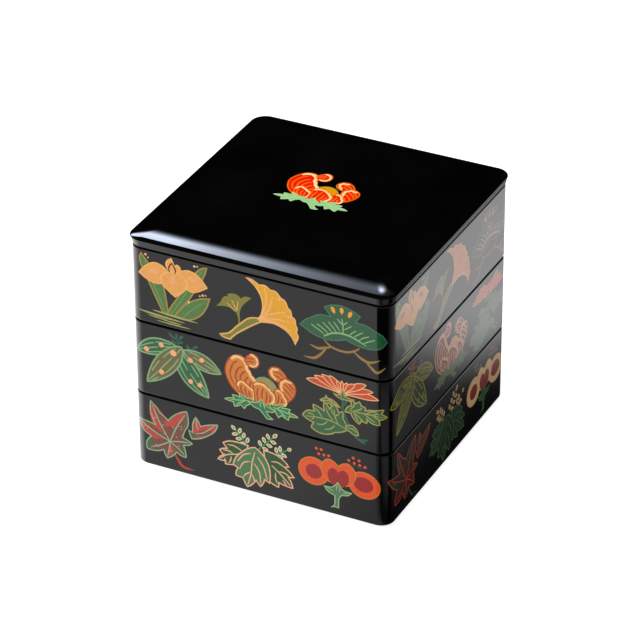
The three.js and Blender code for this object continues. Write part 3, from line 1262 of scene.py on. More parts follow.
class Bamboo(Plant):
    """Four striped leaves that hang from two small sprigs."""

    def draw(self, sketch: Sketch) -> None:
        """Draws the sprigs, then the leaves with their stripes and dew."""
        sketch.strokes(Paint.SPRIG, 0.8, (0.8, 0.6), [(-60.4, 47), (-60.8, 50.6), (-63, 54)],
                       [(-60.8, 50), (-59.6, 52.6)], [(-50.4, 44), (-50.6, 46.6), (-49.4, 48.6)])
        for root, tip in (((-62, 52), (-67.6, 56.8)), ((-61.4, 52.6), (-61.4, 57)),
                          ((-60, 52), (-56.2, 56.6)), ((-60.8, 49.4), (-66.4, 51)),
                          ((-60.4, 49.6), (-56.4, 51.4)), ((-50.6, 46), (-54, 50.4)),
                          ((-49.8, 48), (-45.2, 51)), ((-50.2, 45.6), (-45.2, 46.8))):
            sketch.fill(Blade(root, tip, 2.2, 0.06, 0.6).shape(8), Paint.SPRIG)
        leaves = (
            (Blade((-59, 46), (-93, 36.4), 14, -0.06, 0.55, 0.72), Paint.BAMBOO,
             ((0.2, 0.5, -0.45), (0.56, 0.88, -0.4), (0.14, 0.36, 0.05), (0.5, 0.9, 0.1), (0.44, 0.8, 0.6)),
             ((-73.6, 45, 2.0), (-85.2, 39, 2.0))),
            (Blade((-57.4, 45.4), (-27.6, 33.8), 13.4, 0.0, 0.5, 0.74), Paint.BAMBOO_DRY,
             ((0.15, 0.4, 0.45), (0.52, 0.88, 0.35), (0.3, 0.5, -0.05), (0.58, 0.93, -0.1),
              (0.36, 0.7, -0.6)),
             ((-42.6, 41.2, 1.9),)),
            (Blade((-62, 46.4), (-37.4, 12), 17.4, -0.055, 0.5, 0.76), Paint.BAMBOO,
             ((0.2, 0.56, -0.55), (0.66, 0.9, -0.5), (0.12, 0.42, -0.05), (0.5, 0.95, 0.02),
              (0.1, 0.3, 0.5), (0.38, 0.6, 0.55), (0.68, 0.9, 0.45)),
             ((-51.4, 38.6, 2.0), (-51.6, 21.8, 1.9), (-44.6, 20.6, 1.9))),
            (Blade((-57.6, 47.6), (-85.8, 12.4), 17, 0.01, 0.44, 0.74), Paint.BAMBOO_DRY,
             ((0.12, 0.42, -0.5), (0.52, 0.76, -0.55), (0.05, 0.16, 0.1), (0.3, 0.62, 0), (0.68, 0.94, 0),
              (0.22, 0.6, 0.55), (0.76, 0.9, 0.5)),
             ((-64.4, 40.8, 2.5), (-74, 23.4, 2.1))))
        for leaf, paint, stripes, dew in leaves:
            sketch.rimmed(leaf.shape(16), Paint.REED, paint, 1.2)
            for start, end, aside in stripes:
                sketch.fill(leaf.stripe(start, end, aside, 1.0), Paint.REED)
            for x, y, across in dew:
                sketch.fill(dot(x, y, across), Paint.BUD)


@dataclass
class Peony(Plant):
    """A peony with scalloped petals round a seed head; it also blooms on the lid."""

    x: float = 0.0
    y: float = 0.0
    swap: dict[Paint, Paint] = field(default_factory=dict)

    def areas(self, wall: int) -> list[Area]:
        """Gives the bloom's areas, moved to its place and in its own paints."""
        sketch = Sketch(wall, self.swap)
        self.draw(sketch)
        return [Area(area.outline + [self.x, self.y], area.colour) for area in sketch.areas]

    def petal(self, sketch: Sketch, shape: np.ndarray, edge: Points, streaks: list[Points],
              width: float) -> None:
        """Draws one petal: its outline, a scalloped cream band along its edge, and its streaks."""
        sketch.rimmed(shape, Paint.PEONY_LINE, Paint.PEONY, 1.0)
        for start, end in zip(edge[:-1], edge[1:]):
            way = np.subtract(end, start)
            crest = np.add(start, end) / 2 + 0.12 * np.array([-way[1], way[0]])
            sketch.fill(brushed([start, crest, end], 0.84 * width, (0.75, 0.75)), Paint.PEONY_CREAM)
        sketch.strokes(Paint.PEONY_LINE, 1.3, (0.5, 0.8), *streaks)

    def draw(self, sketch: Sketch) -> None:
        """Draws the seed head, the petals from the back to the front, and the sepals."""
        head = outline([(-4, 31), (-1.6, 37.4), (3.6, 40.6), (9.4, 39.8), (14, 35.4), (15.6, 30)],
                       [(15.6, 30), (-4, 31)])
        sketch.rimmed(head, Paint.DOME_RIM, Paint.DOME, 0.7)
        petals = (
            (outline([(-14, 20.6), (-21.4, 27.6), (-25.2, 37.6), (-23.4, 46), (-19, 51.6), (-13, 53.4),
                      (-8, 50.8)],
                     [(-8, 50.8), (-6.6, 45.4), (-3.4, 38), (0.4, 32.4)],
                     [(0.4, 32.4), (-6, 24), (-14, 20.6)]),
             [(-19.6, 48.8), (-14.4, 51.4), (-9.8, 48.6), (-8.6, 43.4), (-5.6, 38.6), (-1.8, 33.6)],
             [[(-18, 28), (-21, 36), (-19, 44.4), (-15.6, 47.6)],
              [(-15, 29), (-17, 36), (-14.8, 42), (-12.2, 44.2)],
              [(-12.4, 30), (-13.4, 35.4), (-11.4, 39.6), (-9.4, 41)],
              [(-9.4, 30.4), (-9.6, 34), (-7.6, 37.2)], [(-6.6, 30), (-6, 32), (-5, 34.4)]], 3.0),
            (outline([(-10.4, 49.6), (-8.6, 53.6), (-4.6, 56.8), (-0.4, 55.6), (1.4, 51.6), (0.8, 48),
                      (-1.6, 45.4), (-5.4, 45.4), (-8, 46.4), (-10.4, 49.6)]),
             [(-5.4, 55.4), (-1.6, 54.2), (-0.2, 51.2), (-0.8, 48.4), (-2.4, 47), (-6, 46.8)],
             [[(-9, 51), (-6, 52.6), (-3.2, 52)], [(-8.6, 49.2), (-6, 50), (-3.4, 49.8)]], 1.9),
            (outline([(18.6, 38), (22.6, 42.4), (20.4, 47.4), (15.6, 51), (10.4, 50.4), (7.8, 46.6),
                      (8.4, 42.6), (12.4, 39.6), (18.6, 38)]),
             [(15.4, 49.4), (11.2, 49), (9.4, 46.4), (10.6, 43.4), (13.4, 40.8)],
             [[(20, 43.6), (16.6, 46.6), (12.8, 46.6)], [(18.4, 41.4), (16, 43.4), (12.8, 43.8)]], 2.0),
            (outline([(12, 22), (20.4, 23.6), (26, 28.4), (28.8, 35.4), (27.4, 41.2), (22.4, 44),
                      (17.6, 42.6), (15.2, 38), (15.6, 33), (12, 22)]),
             [(25, 41.4), (20.6, 42.4), (17.4, 39.6), (17, 36), (18.2, 33)],
             [[(19.6, 39.4), (23.4, 36.6), (26.4, 33.4)], [(18.8, 36), (22.6, 32.8), (25, 30)],
              [(17.6, 32.8), (20.6, 30), (22.8, 27.4)], [(22.4, 40.4), (25, 38.4), (27, 36)]], 2.2),
            (outline([(8.6, 20.6), (11, 28), (12.6, 33.4), (16, 34.2), (19.8, 30.6), (22.6, 26),
                      (21, 21.4)],
                     [(21, 21.4), (15, 19.6), (8.6, 20.6)]),
             [(13.8, 32.4), (17.4, 31.6), (19.2, 28.4), (21.2, 25.6), (20, 21.6)],
             [[(14, 21.6), (15.4, 25), (15.6, 29)], [(17.4, 21.6), (18, 24), (17.6, 26.6)]], 1.9),
            (outline([(-10.6, 20.4), (-15.6, 25), (-17, 30.4), (-12.8, 34), (-8.4, 32), (-3.8, 29),
                      (-1.6, 24.6), (-3, 19.4)], [(-3, 19.4), (-7, 18.8), (-10.6, 20.4)]),
             [(-15.4, 28.4), (-13.4, 32.4), (-9.4, 30.8), (-7.2, 29), (-3.8, 27), (-3.8, 20.4)],
             [[(-10.4, 21.6), (-13, 25.6), (-12.8, 29.4)], [(-8.2, 21.4), (-9.6, 25), (-9.8, 28.2)],
              [(-6, 21.2), (-6.6, 24), (-7, 26)]], 1.9),
            (outline([(-3, 19.4), (-3.4, 26), (-4.2, 33), (-1, 35.6), (4.6, 36), (8.4, 33), (12.4, 29.6),
                      (14, 25.4), (11.4, 20)], [(11.4, 20), (4, 17.4), (-3, 19.4)]),
             [(-2.6, 32.8), (2.2, 34.4), (6.8, 32.2), (9.4, 29.8), (12.2, 26), (9.8, 20.4)],
             [[(0, 20), (-0.8, 26), (0, 30.8)], [(2.8, 19.6), (2.8, 26), (3.6, 31)],
              [(5.4, 19.8), (6.4, 24), (6.4, 28.6)], [(8, 21), (9.2, 24), (9, 26.6)]], 2.2))
        for shape, edge, streaks, width in petals:
            self.petal(sketch, shape, edge, streaks, width)
        self.sepals(sketch)

    def sepals(self, sketch: Sketch) -> None:
        """Draws a sepal on each side, then the one in front with its stem."""
        leaf = [(5, 20.6), (11, 20.6), (17.4, 23.4), (16.6, 20), (22.4, 20.2), (21.2, 17.8), (28.4, 15.2),
                (21.6, 14.2), (20.6, 10.8), (15.6, 13.2), (13, 10.8), (11, 14), (7, 17)]
        veins = ([(9, 18.4), (15, 17.4), (23.4, 15.8)], [(13, 17.2), (16, 15.2), (19, 13)],
                 [(12, 18.4), (14, 19.6), (15.8, 21.4)])
        for side in (-1, 1):
            def placed(points: Points) -> np.ndarray:
                """Mirrors points to their side of the stem."""
                return np.array(points) * [side, 1] + [2.2, 0]
            sepal = arched(placed(leaf), [0.03, 0.04, 0, 0.06, 0, 0.08, 0.06, 0, 0.06, 0, 0.06, 0.04, 0])
            sketch.rimmed(sepal, Paint.SEPAL_RIM, Paint.SEPAL, 0.75)
            sketch.strokes(Paint.SEPAL_RIM, 0.8, (0.6, 0.4), *[placed(vein) for vein in veins])
        front = outline([(2.4, 23), (4.6, 19.8), (8, 17.6), (13.4, 16.6)],
                        [(13.4, 16.6), (10.6, 13.6), (6.6, 13.4)], [(6.6, 13.4), (8, 11), (11.6, 8.6)],
                        [(11.6, 8.6), (9, 7.6), (6, 7.6)], [(6, 7.6), (3.6, 10.6), (0.6, 13.6)],
                        [(0.6, 13.6), (-4, 14.6), (-8.6, 18.2)],
                        [(-8.6, 18.2), (-2, 19), (0.6, 20.6), (2.4, 23)])
        sketch.rimmed(front, Paint.SEPAL_RIM, Paint.SEPAL, 0.75)
        sketch.strokes(Paint.SEPAL_RIM, 0.8, (0.6, 0.3), [(2.2, 20), (1.4, 17.8), (2, 15.8)],
                       [(3.4, 19.4), (4.6, 17.4), (5, 15.2)])


class Chrysanthemum(Plant):
    """A chrysanthemum seen from the side, on a stem with lobed leaves."""

    def draw(self, sketch: Sketch) -> None:
        """Draws the stem, the leaves, the petals and the calyx."""
        sketch.strokes(Paint.MUM_STEM, 1.9, (0.9, 0.6),
                       [(63, 42), (63.6, 36), (63.2, 31), (65.6, 25), (68.4, 19.4)])
        sketch.strokes(Paint.MUM_STEM, 1.8, (0.2, 0.9), [(71, 13.6), (75.4, 10.6), (81.4, 11.4)],
                       [(71.4, 13.4), (76.4, 9.8), (79.4, 8.6)])
        sketch.strokes(Paint.MUM_STEM, 1.5, (0.5, 0.3), [(64, 34), (65.6, 36.4), (66.2, 39.4)])
        leaves = (
            ([(62, 31.6), (57, 36.4), (52.4, 37.4), (50.6, 39.4), (50.4, 37.2), (46, 34), (49, 33),
              (49.6, 32), (53.4, 32.8), (54.4, 31.4), (58, 32.4)],
             [(60, 33), (53.6, 35), (47.6, 34.2)], [(55.6, 34.6), (53.8, 36), (51.4, 37)],
             [(56, 34), (54.6, 33)]),
            ([(64.6, 29.6), (66.6, 34.4), (69.4, 36), (69, 41), (71.4, 40.4), (73, 38.8), (76, 40.8),
              (77.4, 38), (80.4, 37.4), (80.6, 35.4), (86, 36.6), (93.6, 38.2), (92.2, 34.6), (96.2, 31.6),
              (90.4, 29.4), (91, 25.4), (85, 25.4), (81.8, 27.4), (81.4, 24.6), (77.4, 25.4), (75.6, 22.4),
              (71, 26), (69, 29.6)],
             [(68.6, 32), (76, 31.8), (85, 32.4), (93.6, 32)], [(69, 33), (71.4, 35.6), (72, 38.8)],
             [(72.4, 32.6), (76, 34.4), (77.4, 36)], [(81, 32.6), (84.6, 35.2), (88.6, 35.4)],
             [(71, 31), (75, 28.6), (78.4, 26)], [(72, 29.8), (73.6, 26.8), (75, 24.6)],
             [(79.6, 31.4), (84, 29), (87, 27.6)], [(86, 31.6), (89, 30.6), (91, 29.4)],
             [(86, 33), (88.6, 34.2), (90.4, 34)]),
            ([(66.6, 18.6), (64, 24), (63.6, 29.4), (60.6, 28.6), (57.4, 34), (53.6, 29.6), (49.4, 34.2),
              (49, 27), (41, 29.6), (41.6, 24.4), (36.6, 23.6), (32.8, 18.6), (37.4, 15.8), (41, 14.6),
              (39.4, 10.4), (45.6, 7.4), (52.6, 8), (58, 11), (66, 14.4)],
             [(64.4, 16.6), (56, 19.4), (46, 19.8), (36, 18.6)], [(56, 20.6), (52.6, 24.6), (51, 29)],
             [(60, 18.6), (57.6, 23.6), (57.2, 29)], [(57.4, 25), (55.4, 27), (55.4, 29.4)],
             [(57.6, 24), (60, 26), (60.4, 27)], [(48, 21), (45.4, 24.4), (42.6, 26.6)],
             [(52, 18.4), (48.6, 15.2), (44, 14.4)], [(57.4, 16.6), (54, 13), (50, 11.8)],
             [(42, 20.4), (39.6, 21.6), (37.4, 21.2)], [(42, 18.6), (40, 17)]),
            ([(64.6, 16.4), (67, 20), (71, 20.6), (74, 18), (75.6, 13.6), (72.4, 12.6), (68.4, 14.6)],
             [(67, 17.4), (70.6, 17.6), (73.4, 15.4)]))
        for corners, *veins in leaves:
            self.leaf(sketch, arched(corners, 0.06), veins)
        heart = (63.0, 42.0)
        for x, y, width in ((36.2, 48.1, 5.6), (90, 45.2, 5.4), (42, 52.1, 5.2), (86, 50.4, 5),
                            (47.6, 54.5, 5), (80.8, 54.8, 5.6), (53.2, 55.2, 4.8), (72.6, 53.2, 4.6),
                            (58.6, 53.2, 3.4), (67, 53, 3.2), (62.8, 53.6, 3)):
            side = 0.0 if abs(x - heart[0]) < 3 else math.copysign(0.07, x - heart[0])
            sketch.rimmed(Blade(heart, (x, y), width, side, 0.64, 0.75).shape(), Paint.MUM_RIM, Paint.MUM,
                          0.7)
        calyx = outline([(63.2, 47.6), (65.4, 44), (67, 41.6), (72, 41)],
                        [(72, 41), (69.4, 38.8), (64.4, 38.6)], [(64.4, 38.6), (62, 38.6)],
                        [(62, 38.6), (58.4, 40), (56, 42.4)], [(56, 42.4), (60.4, 42.4), (63.2, 47.6)])
        self.leaf(sketch, calyx, [[(62.8, 44.6), (62, 42.4), (62.4, 40.6)],
                                  [(63.8, 44), (64.6, 42.2), (64.4, 40.6)]])

    def leaf(self, sketch: Sketch, shape: np.ndarray, veins: list[Points]) -> None:
        """Draws one leaf with a gold rim and gold veins."""
        sketch.rimmed(shape, Paint.MUM_GOLD, Paint.MUM_LEAF, 0.95)
        sketch.strokes(Paint.MUM_GOLD, 0.9, (0.6, 0.6), *veins)


class Maple(Plant):
    """A maple leaf turning red and half a smaller one beside it."""

    def draw(self, sketch: Sketch) -> None:
        """Draws the stalk, the lobes in their colours, the veins and the specks."""
        sketch.strokes(Paint.MAPLE_STALK, 2.2, (0.3, 0.1),
                       [(-66, 18), (-63, 12.6), (-59.4, 8.2), (-51, 7.2)])
        leaf = arched([(-83.6, 56), (-76, 47.6), (-70, 43.6), (-62.4, 51), (-55.2, 54.4), (-54.4, 42),
                       (-58.6, 32.4), (-51, 29.2), (-58, 25.6), (-56.4, 16), (-64, 18.2), (-71.6, 11.4),
                       (-74.4, 17.4), (-87.2, 15), (-87.6, 22), (-84.4, 26.4), (-94.6, 38.4), (-80.6, 37.4),
                       (-84, 46)],
                      [0.05, 0.03, 0.05, 0.06, 0.08, -0.04, 0.03, 0.1, 0.06, 0.1, 0.08, 0.08, 0.1, 0.1,
                       0.02, 0.12, 0.05, 0.03, 0.04])
        sketch.rimmed(leaf, Paint.MAPLE_LINE, Paint.MAPLE_GREEN, 0.85)
        middle = (-69.0, 26.0)
        lobes = (((-83, 54.4), 12, 0.02, Paint.MAPLE_RED), ((-56, 52.6), 11, 0.05, Paint.MAPLE_RED),
                 ((-93, 38), 9.4, 0.06, Paint.MAPLE_RED), ((-71.6, 13), 7.6, 0, Paint.MAPLE_RED),
                 ((-85, 17), 7, 0.04, Paint.MAPLE_DUSK), ((-53.4, 29), 5.6, 0, Paint.MAPLE_DUSK),
                 ((-57.4, 17.6), 4.4, 0, Paint.MAPLE_DUSK), ((-70, 43.2), 13, 0, Paint.MAPLE_RED),
                 ((-78, 44), 4.4, 0, Paint.MAPLE_DUSK), ((-60, 45), 4.6, 0, Paint.MAPLE_DUSK),
                 ((-85, 34), 4, 0, Paint.MAPLE_DUSK), ((-62, 36), 5, 0, Paint.MAPLE_DUSK))
        t = np.linspace(0, 1, 10)
        for tip, width, bend, paint in lobes:
            lobe = Blade(middle, tip, width, bend, 0.52, 0.7)
            sketch.fill(lobe.shape(9), paint)
            if 7 < width < 13:
                sketch.fill(np.concatenate([lobe.at(t, -0.9), lobe.at(t[::-1], -0.05)]), Paint.MAPLE_DUSK)
        for x, y, across, high, turn in ((-69, 31, 6.2, 7.6, 0), (-76, 23.6, 7.6, 3.0, 15),
                                         (-63, 33, 3.8, 7.4, -25)):
            sketch.fill(dot(x, y, across, high, turn), Paint.MAPLE_DUSK)
        edge = inset(leaf, 0.42).tolist()
        sketch.strokes(Paint.MAPLE_LINE, 0.85, (1.0, 1.0), [*edge, edge[0]])
        for x, y in ((-82, 52.6), (-56.6, 51), (-92, 37.4), (-84.4, 17.4), (-71.4, 14), (-58, 18),
                     (-53.6, 29)):
            crest = (middle[0] + 0.5 * (x - middle[0]) - 0.035 * (y - middle[1]),
                     middle[1] + 0.5 * (y - middle[1]) + 0.035 * (x - middle[0]))
            sketch.strokes(Paint.MAPLE_LINE, 0.95, (0.9, 0.4), [middle, crest, (x, y)])
        sketch.spots(Paint.MAPLE_LINE, 0.5, (-82.6, 44.4), (-81, 42), (-79.6, 42.6), (-75.6, 37.8),
                     (-74.6, 36.6), (-74, 38.2), (-66, 38), (-61.6, 40.2), (-59.8, 40.8), (-60, 38.4),
                     (-64, 31), (-88.4, 33.8), (-86.6, 32), (-85.6, 34), (-80, 20.4), (-78.4, 19.4),
                     (-77, 20.6), (-64, 23), (-62.4, 24), (-68.4, 18.4), (-73.4, 31.2), (-41, 47),
                     (-39.4, 46.4), (-43, 39.6), (-49.6, 44.6))
        half = arched([(-48.4, 52), (-44.6, 45.6), (-31, 50.4), (-38.6, 39), (-52, 32.6), (-54.4, 40.4),
                       (-51.6, 39), (-51.4, 45)], [0.06, 0.04, 0.12, 0.08, 0.06, -0.05, 0.0, 0.06])
        sketch.rimmed(half, Paint.MAPLE_LINE, Paint.MAPLE_RED, 0.85)
        sketch.fill(arched([(-53.4, 38.6), (-51.2, 34), (-47, 36), (-51, 38)], 0.06), Paint.MAPLE_GREEN)
        sketch.fill(Blade((-50, 37), (-36, 43.6), 4.4, -0.02, 0.5, 0.7).shape(8), Paint.MAPLE_DUSK)
        sketch.strokes(Paint.MAPLE_LINE, 0.85, (0.8, 0.5), [(-48.6, 38), (-42, 41), (-33.6, 48.8)],
                       [(-47.8, 50), (-47.8, 45), (-46.6, 41.6)])


class ThreeLeaves(Plant):
    """Three toothed leaves under three sprigs of small leaflets."""

    def draw(self, sketch: Sketch) -> None:
        """Draws the sprigs, the two dark leaves and the light one in front."""
        for root, tip, pairs in (((-8.4, 40), (-19.6, 51.6), 3), ((0.6, 40), (12.6, 53.6), 3),
                                 ((12.4, 38.4), (23.4, 45.6), 2)):
            self.sprig(sketch, np.array(root), np.array(tip), pairs)
        leaves = (
            (arched([(-8, 40), (-20, 40.6), (-28.2, 37), (-25.4, 33.4), (-31, 30.4), (-28, 27),
                     (-32.4, 22.2), (-26.4, 22), (-26.6, 19.6), (-20.4, 20.4), (-10, 26)],
                    [0.04, 0.08, 0.02, 0.08, 0.02, 0.1, 0.06, 0.02, 0.04, 0, 0]), Paint.NETTLE_DARK,
             [(-24, 36.4), (-18.6, 36.4), (-13, 34)], [(-27.6, 31), (-23.6, 31.4), (-20.4, 30.4)],
             [(-30, 23.6), (-24.4, 28), (-17, 30.4), (-11, 33.4)], [(-23.6, 21.6), (-22, 24), (-21.6, 27)],
             [(-28.6, 27.4), (-26.4, 27.8)], [(-26.8, 22), (-26.4, 24.4)]),
            (arched([(3, 39.6), (14.4, 38.4), (23.4, 31), (20.4, 30), (27.2, 23.4), (23, 22.4), (26, 14.2),
                     (18, 15), (15.4, 15.8), (15, 12), (7.6, 14.8), (5, 24)],
                    [0.06, 0.08, 0.0, 0.06, 0.02, 0.08, 0.02, 0.0, 0.02, 0.06, 0, 0]), Paint.NETTLE_DARK,
             [(9.4, 32), (14.4, 32.4), (19.4, 30)], [(9.6, 28.8), (16.4, 23.4), (23.6, 16.4)],
             [(15.4, 25.4), (19.4, 25.4), (22.8, 23.4)], [(12.4, 23.6), (12.4, 19.4), (13.6, 15.6)],
             [(18, 19.4), (19.4, 17.4), (20.6, 16)]),
            (arched([(-3, 40.4), (5, 33.6), (8.6, 24), (8.2, 13.2), (4.4, 15), (0.6, 8.4), (-2.6, 12.4),
                     (-9.4, 5.6), (-13, 12), (-18.4, 12.6), (-17, 19.4), (-20.6, 21), (-14, 33)],
                    [0.06, 0.06, 0.04, 0.02, 0.08, 0.02, 0.08, 0.06, 0.02, 0.1, 0.02, 0.1, 0.08]),
             Paint.NETTLE, [(-3.2, 36), (-5.4, 27), (-6.4, 17.6), (-8.8, 8.4)],
             [(-6.4, 34), (-12, 31.4), (-16.6, 25)], [(-1.2, 32.6), (3.2, 26), (6, 16.4)],
             [(-7, 27.4), (-12, 25), (-15, 19.4)], [(-3.8, 26.6), (0, 20.4), (1, 12)],
             [(-7, 18.6), (-10, 16.4), (-12, 14)], [(-6, 17.4), (-4.4, 14.4), (-4, 12.4)]))
        for shape, paint, *veins in leaves:
            sketch.rimmed(shape, Paint.SHELL, paint, 1.0)
            sketch.strokes(Paint.SHELL, 1.0, (0.5, 0.7), *veins)

    def sprig(self, sketch: Sketch, root: np.ndarray, tip: np.ndarray, pairs: int) -> None:
        """Draws a sprig: a stem, pairs of leaflets along it and one at its tip."""
        way = tip - root
        ahead = way / np.linalg.norm(way)
        left = np.array([-ahead[1], ahead[0]])
        sketch.strokes(Paint.TEAL, 1.1, (1, 0.5), [root - 0.05 * way, root + 0.5 * way, root + 0.9 * way])
        feet = [(root + way * (0.12 + 0.26 * step) + side * 0.6 * left, 2.4 * ahead + side * 4.2 * left)
                for step in range(pairs) for side in (-1, 1)]
        for foot, reach in feet + [(root + 0.84 * way, 0.28 * way)]:
            leaflet = Blade(tuple(foot), tuple(foot + reach), 3.0, 0.0, 0.5, 0.6)
            sketch.fill(leaflet.shape(8), Paint.CREAM)
            sketch.fill(leaflet.stripe(0.3, 0.66, 0, 0.8), Paint.SEED)


class PlumRounds(Plant):
    """Three round plum blossoms side by side on one stem, with stamens above."""

    def draw(self, sketch: Sketch) -> None:
        """Draws the rounds, the double one between them, the stamens and the calyx."""
        for outer, heart in (((41.4, 33.6, 11.6, 11.2), (41.6, 33.4, 6.2, 5.8)),
                             ((79.4, 32.6, 12, 10.8), (78.8, 33, 7.4, 6))):
            sketch.rimmed(dot(*outer, steps=34), Paint.PLUM_RIM, Paint.PLUM, 0.7)
            sketch.fill(dot(*heart, steps=22), Paint.PLUM_HEART)
        sketch.rimmed(self.double_round(60, 26.6, 13, 20), Paint.PLUM_RIM, Paint.PLUM, 0.8)
        sketch.fill(self.double_round(60, 25.6, 7.8, 14.4), Paint.PLUM_HEART)
        sketch.strokes(Paint.STALK_GREY, 0.45, (0.8, 0.6), [(45.6, 47), (47.6, 45.4)],
                       [(49.2, 47), (48.6, 45.2)], [(52, 47.6), (49.6, 45.4)], [(69, 48), (71.6, 46)],
                       [(72, 47), (72.6, 45.6)], [(75.4, 46.4), (73.6, 45.2)], [(79, 46.4), (75, 44.8)])
        sketch.spots(Paint.BERRY, 1.15, (43.6, 52.4), (47.2, 52.4), (45.4, 48.6), (49.2, 48.6), (52.8, 49),
                     (67.8, 49.6), (71.2, 52.4), (75.4, 51.4), (72, 48.4), (76, 47.8), (80, 47.4))
        calyx = outline([(59.6, 29.8), (61.8, 26.8), (64, 24.4), (70.6, 23.8)],
                        [(70.6, 23.8), (67.4, 20.6), (62.6, 19.4)], [(62.6, 19.4), (60.8, 16), (60.6, 8.6)],
                        [(60.6, 8.6), (57.4, 8.8), (54, 7.8)], [(54, 7.8), (56.8, 11), (57, 18)],
                        [(57, 18), (52, 20), (48.8, 24.2)],
                        [(48.8, 24.2), (54.4, 24.6), (57.4, 27), (59.6, 29.8)])
        sketch.rimmed(calyx, Paint.CALYX_RIM, Paint.CALYX, 0.8)
        sketch.strokes(Paint.CALYX_RIM, 0.7, (0.6, 0.4), [(59.6, 27.4), (58.6, 24.8), (59, 22.6)],
                       [(60.2, 26), (61.2, 24), (61, 22)], [(51.4, 23.4), (54.4, 22.2), (56.4, 21.8)],
                       [(67.4, 22.8), (65, 22.2), (63.4, 21.8)])

    def double_round(self, x: float, y: float, half: float, high: float) -> np.ndarray:
        """Draws two lobes that meet in a point below, from the point at x, y."""
        right = np.array([(0, 0), (0.62, 0.1), (0.98, 0.42), (0.98, 0.76), (0.62, 1.0), (0.26, 0.96),
                          (0, 0.82)])
        left = (right * [-1, 1])[::-1]
        return outline(right * [half, high] + [x, y], left * [half, high] + [x, y])


# Camera and studio

@dataclass(frozen=True)
class PhotoCamera:
    """The camera of the photograph, fitted to the box's outline and seams.

    Lengths are in box widths, but the box width and the foot in metres. The focal length is in
    pixels of an image IMAGE_WIDTH wide, and the sensor's width in millimetres.
    """

    azimuth: float = 26.43522
    elevation: float = 30.9296
    roll: float = -0.28929
    distance: float = 12.57376
    across: float = -0.00756
    up: float = -0.00506
    aim: float = 0.45
    box_width: float = 0.195
    foot: float = 0.0025
    focal_pixels: float = 3535.467
    sensor: float = 36.0

    def make(self) -> bpy.types.Object:
        """Builds the camera: it looks back along azimuth and elevation, then turns by the roll."""
        azimuth, elevation, roll = np.radians([self.azimuth, self.elevation, self.roll])
        back = np.array([math.sin(azimuth) * math.cos(elevation),
                         -math.cos(azimuth) * math.cos(elevation), math.sin(elevation)])
        level = np.cross([0.0, 0.0, 1.0], back)
        level /= np.linalg.norm(level)
        upright = np.cross(back, level)
        right = math.cos(roll) * level + math.sin(roll) * upright
        up = -math.sin(roll) * level + math.cos(roll) * upright
        reach = back * self.distance + right * self.across + up * self.up
        place = (reach + [0.0, 0.0, self.aim]) * self.box_width + [0.0, 0.0, self.foot]
        data = bpy.data.cameras.new("photo_camera")
        data.sensor_width = self.sensor
        data.lens = self.focal_pixels / IMAGE_WIDTH * self.sensor
        data.clip_start = 0.1
        data.clip_end = 100.0
        camera = bpy.data.objects.new("photo_camera", data)
        turned = np.eye(4)
        turned[:3, :3] = np.stack([right, up, back], axis=1)
        turned[:3, 3] = place
        camera.matrix_world = Matrix(turned.tolist())
        bpy.context.scene.collection.objects.link(camera)
        bpy.context.scene.camera = camera
        return camera


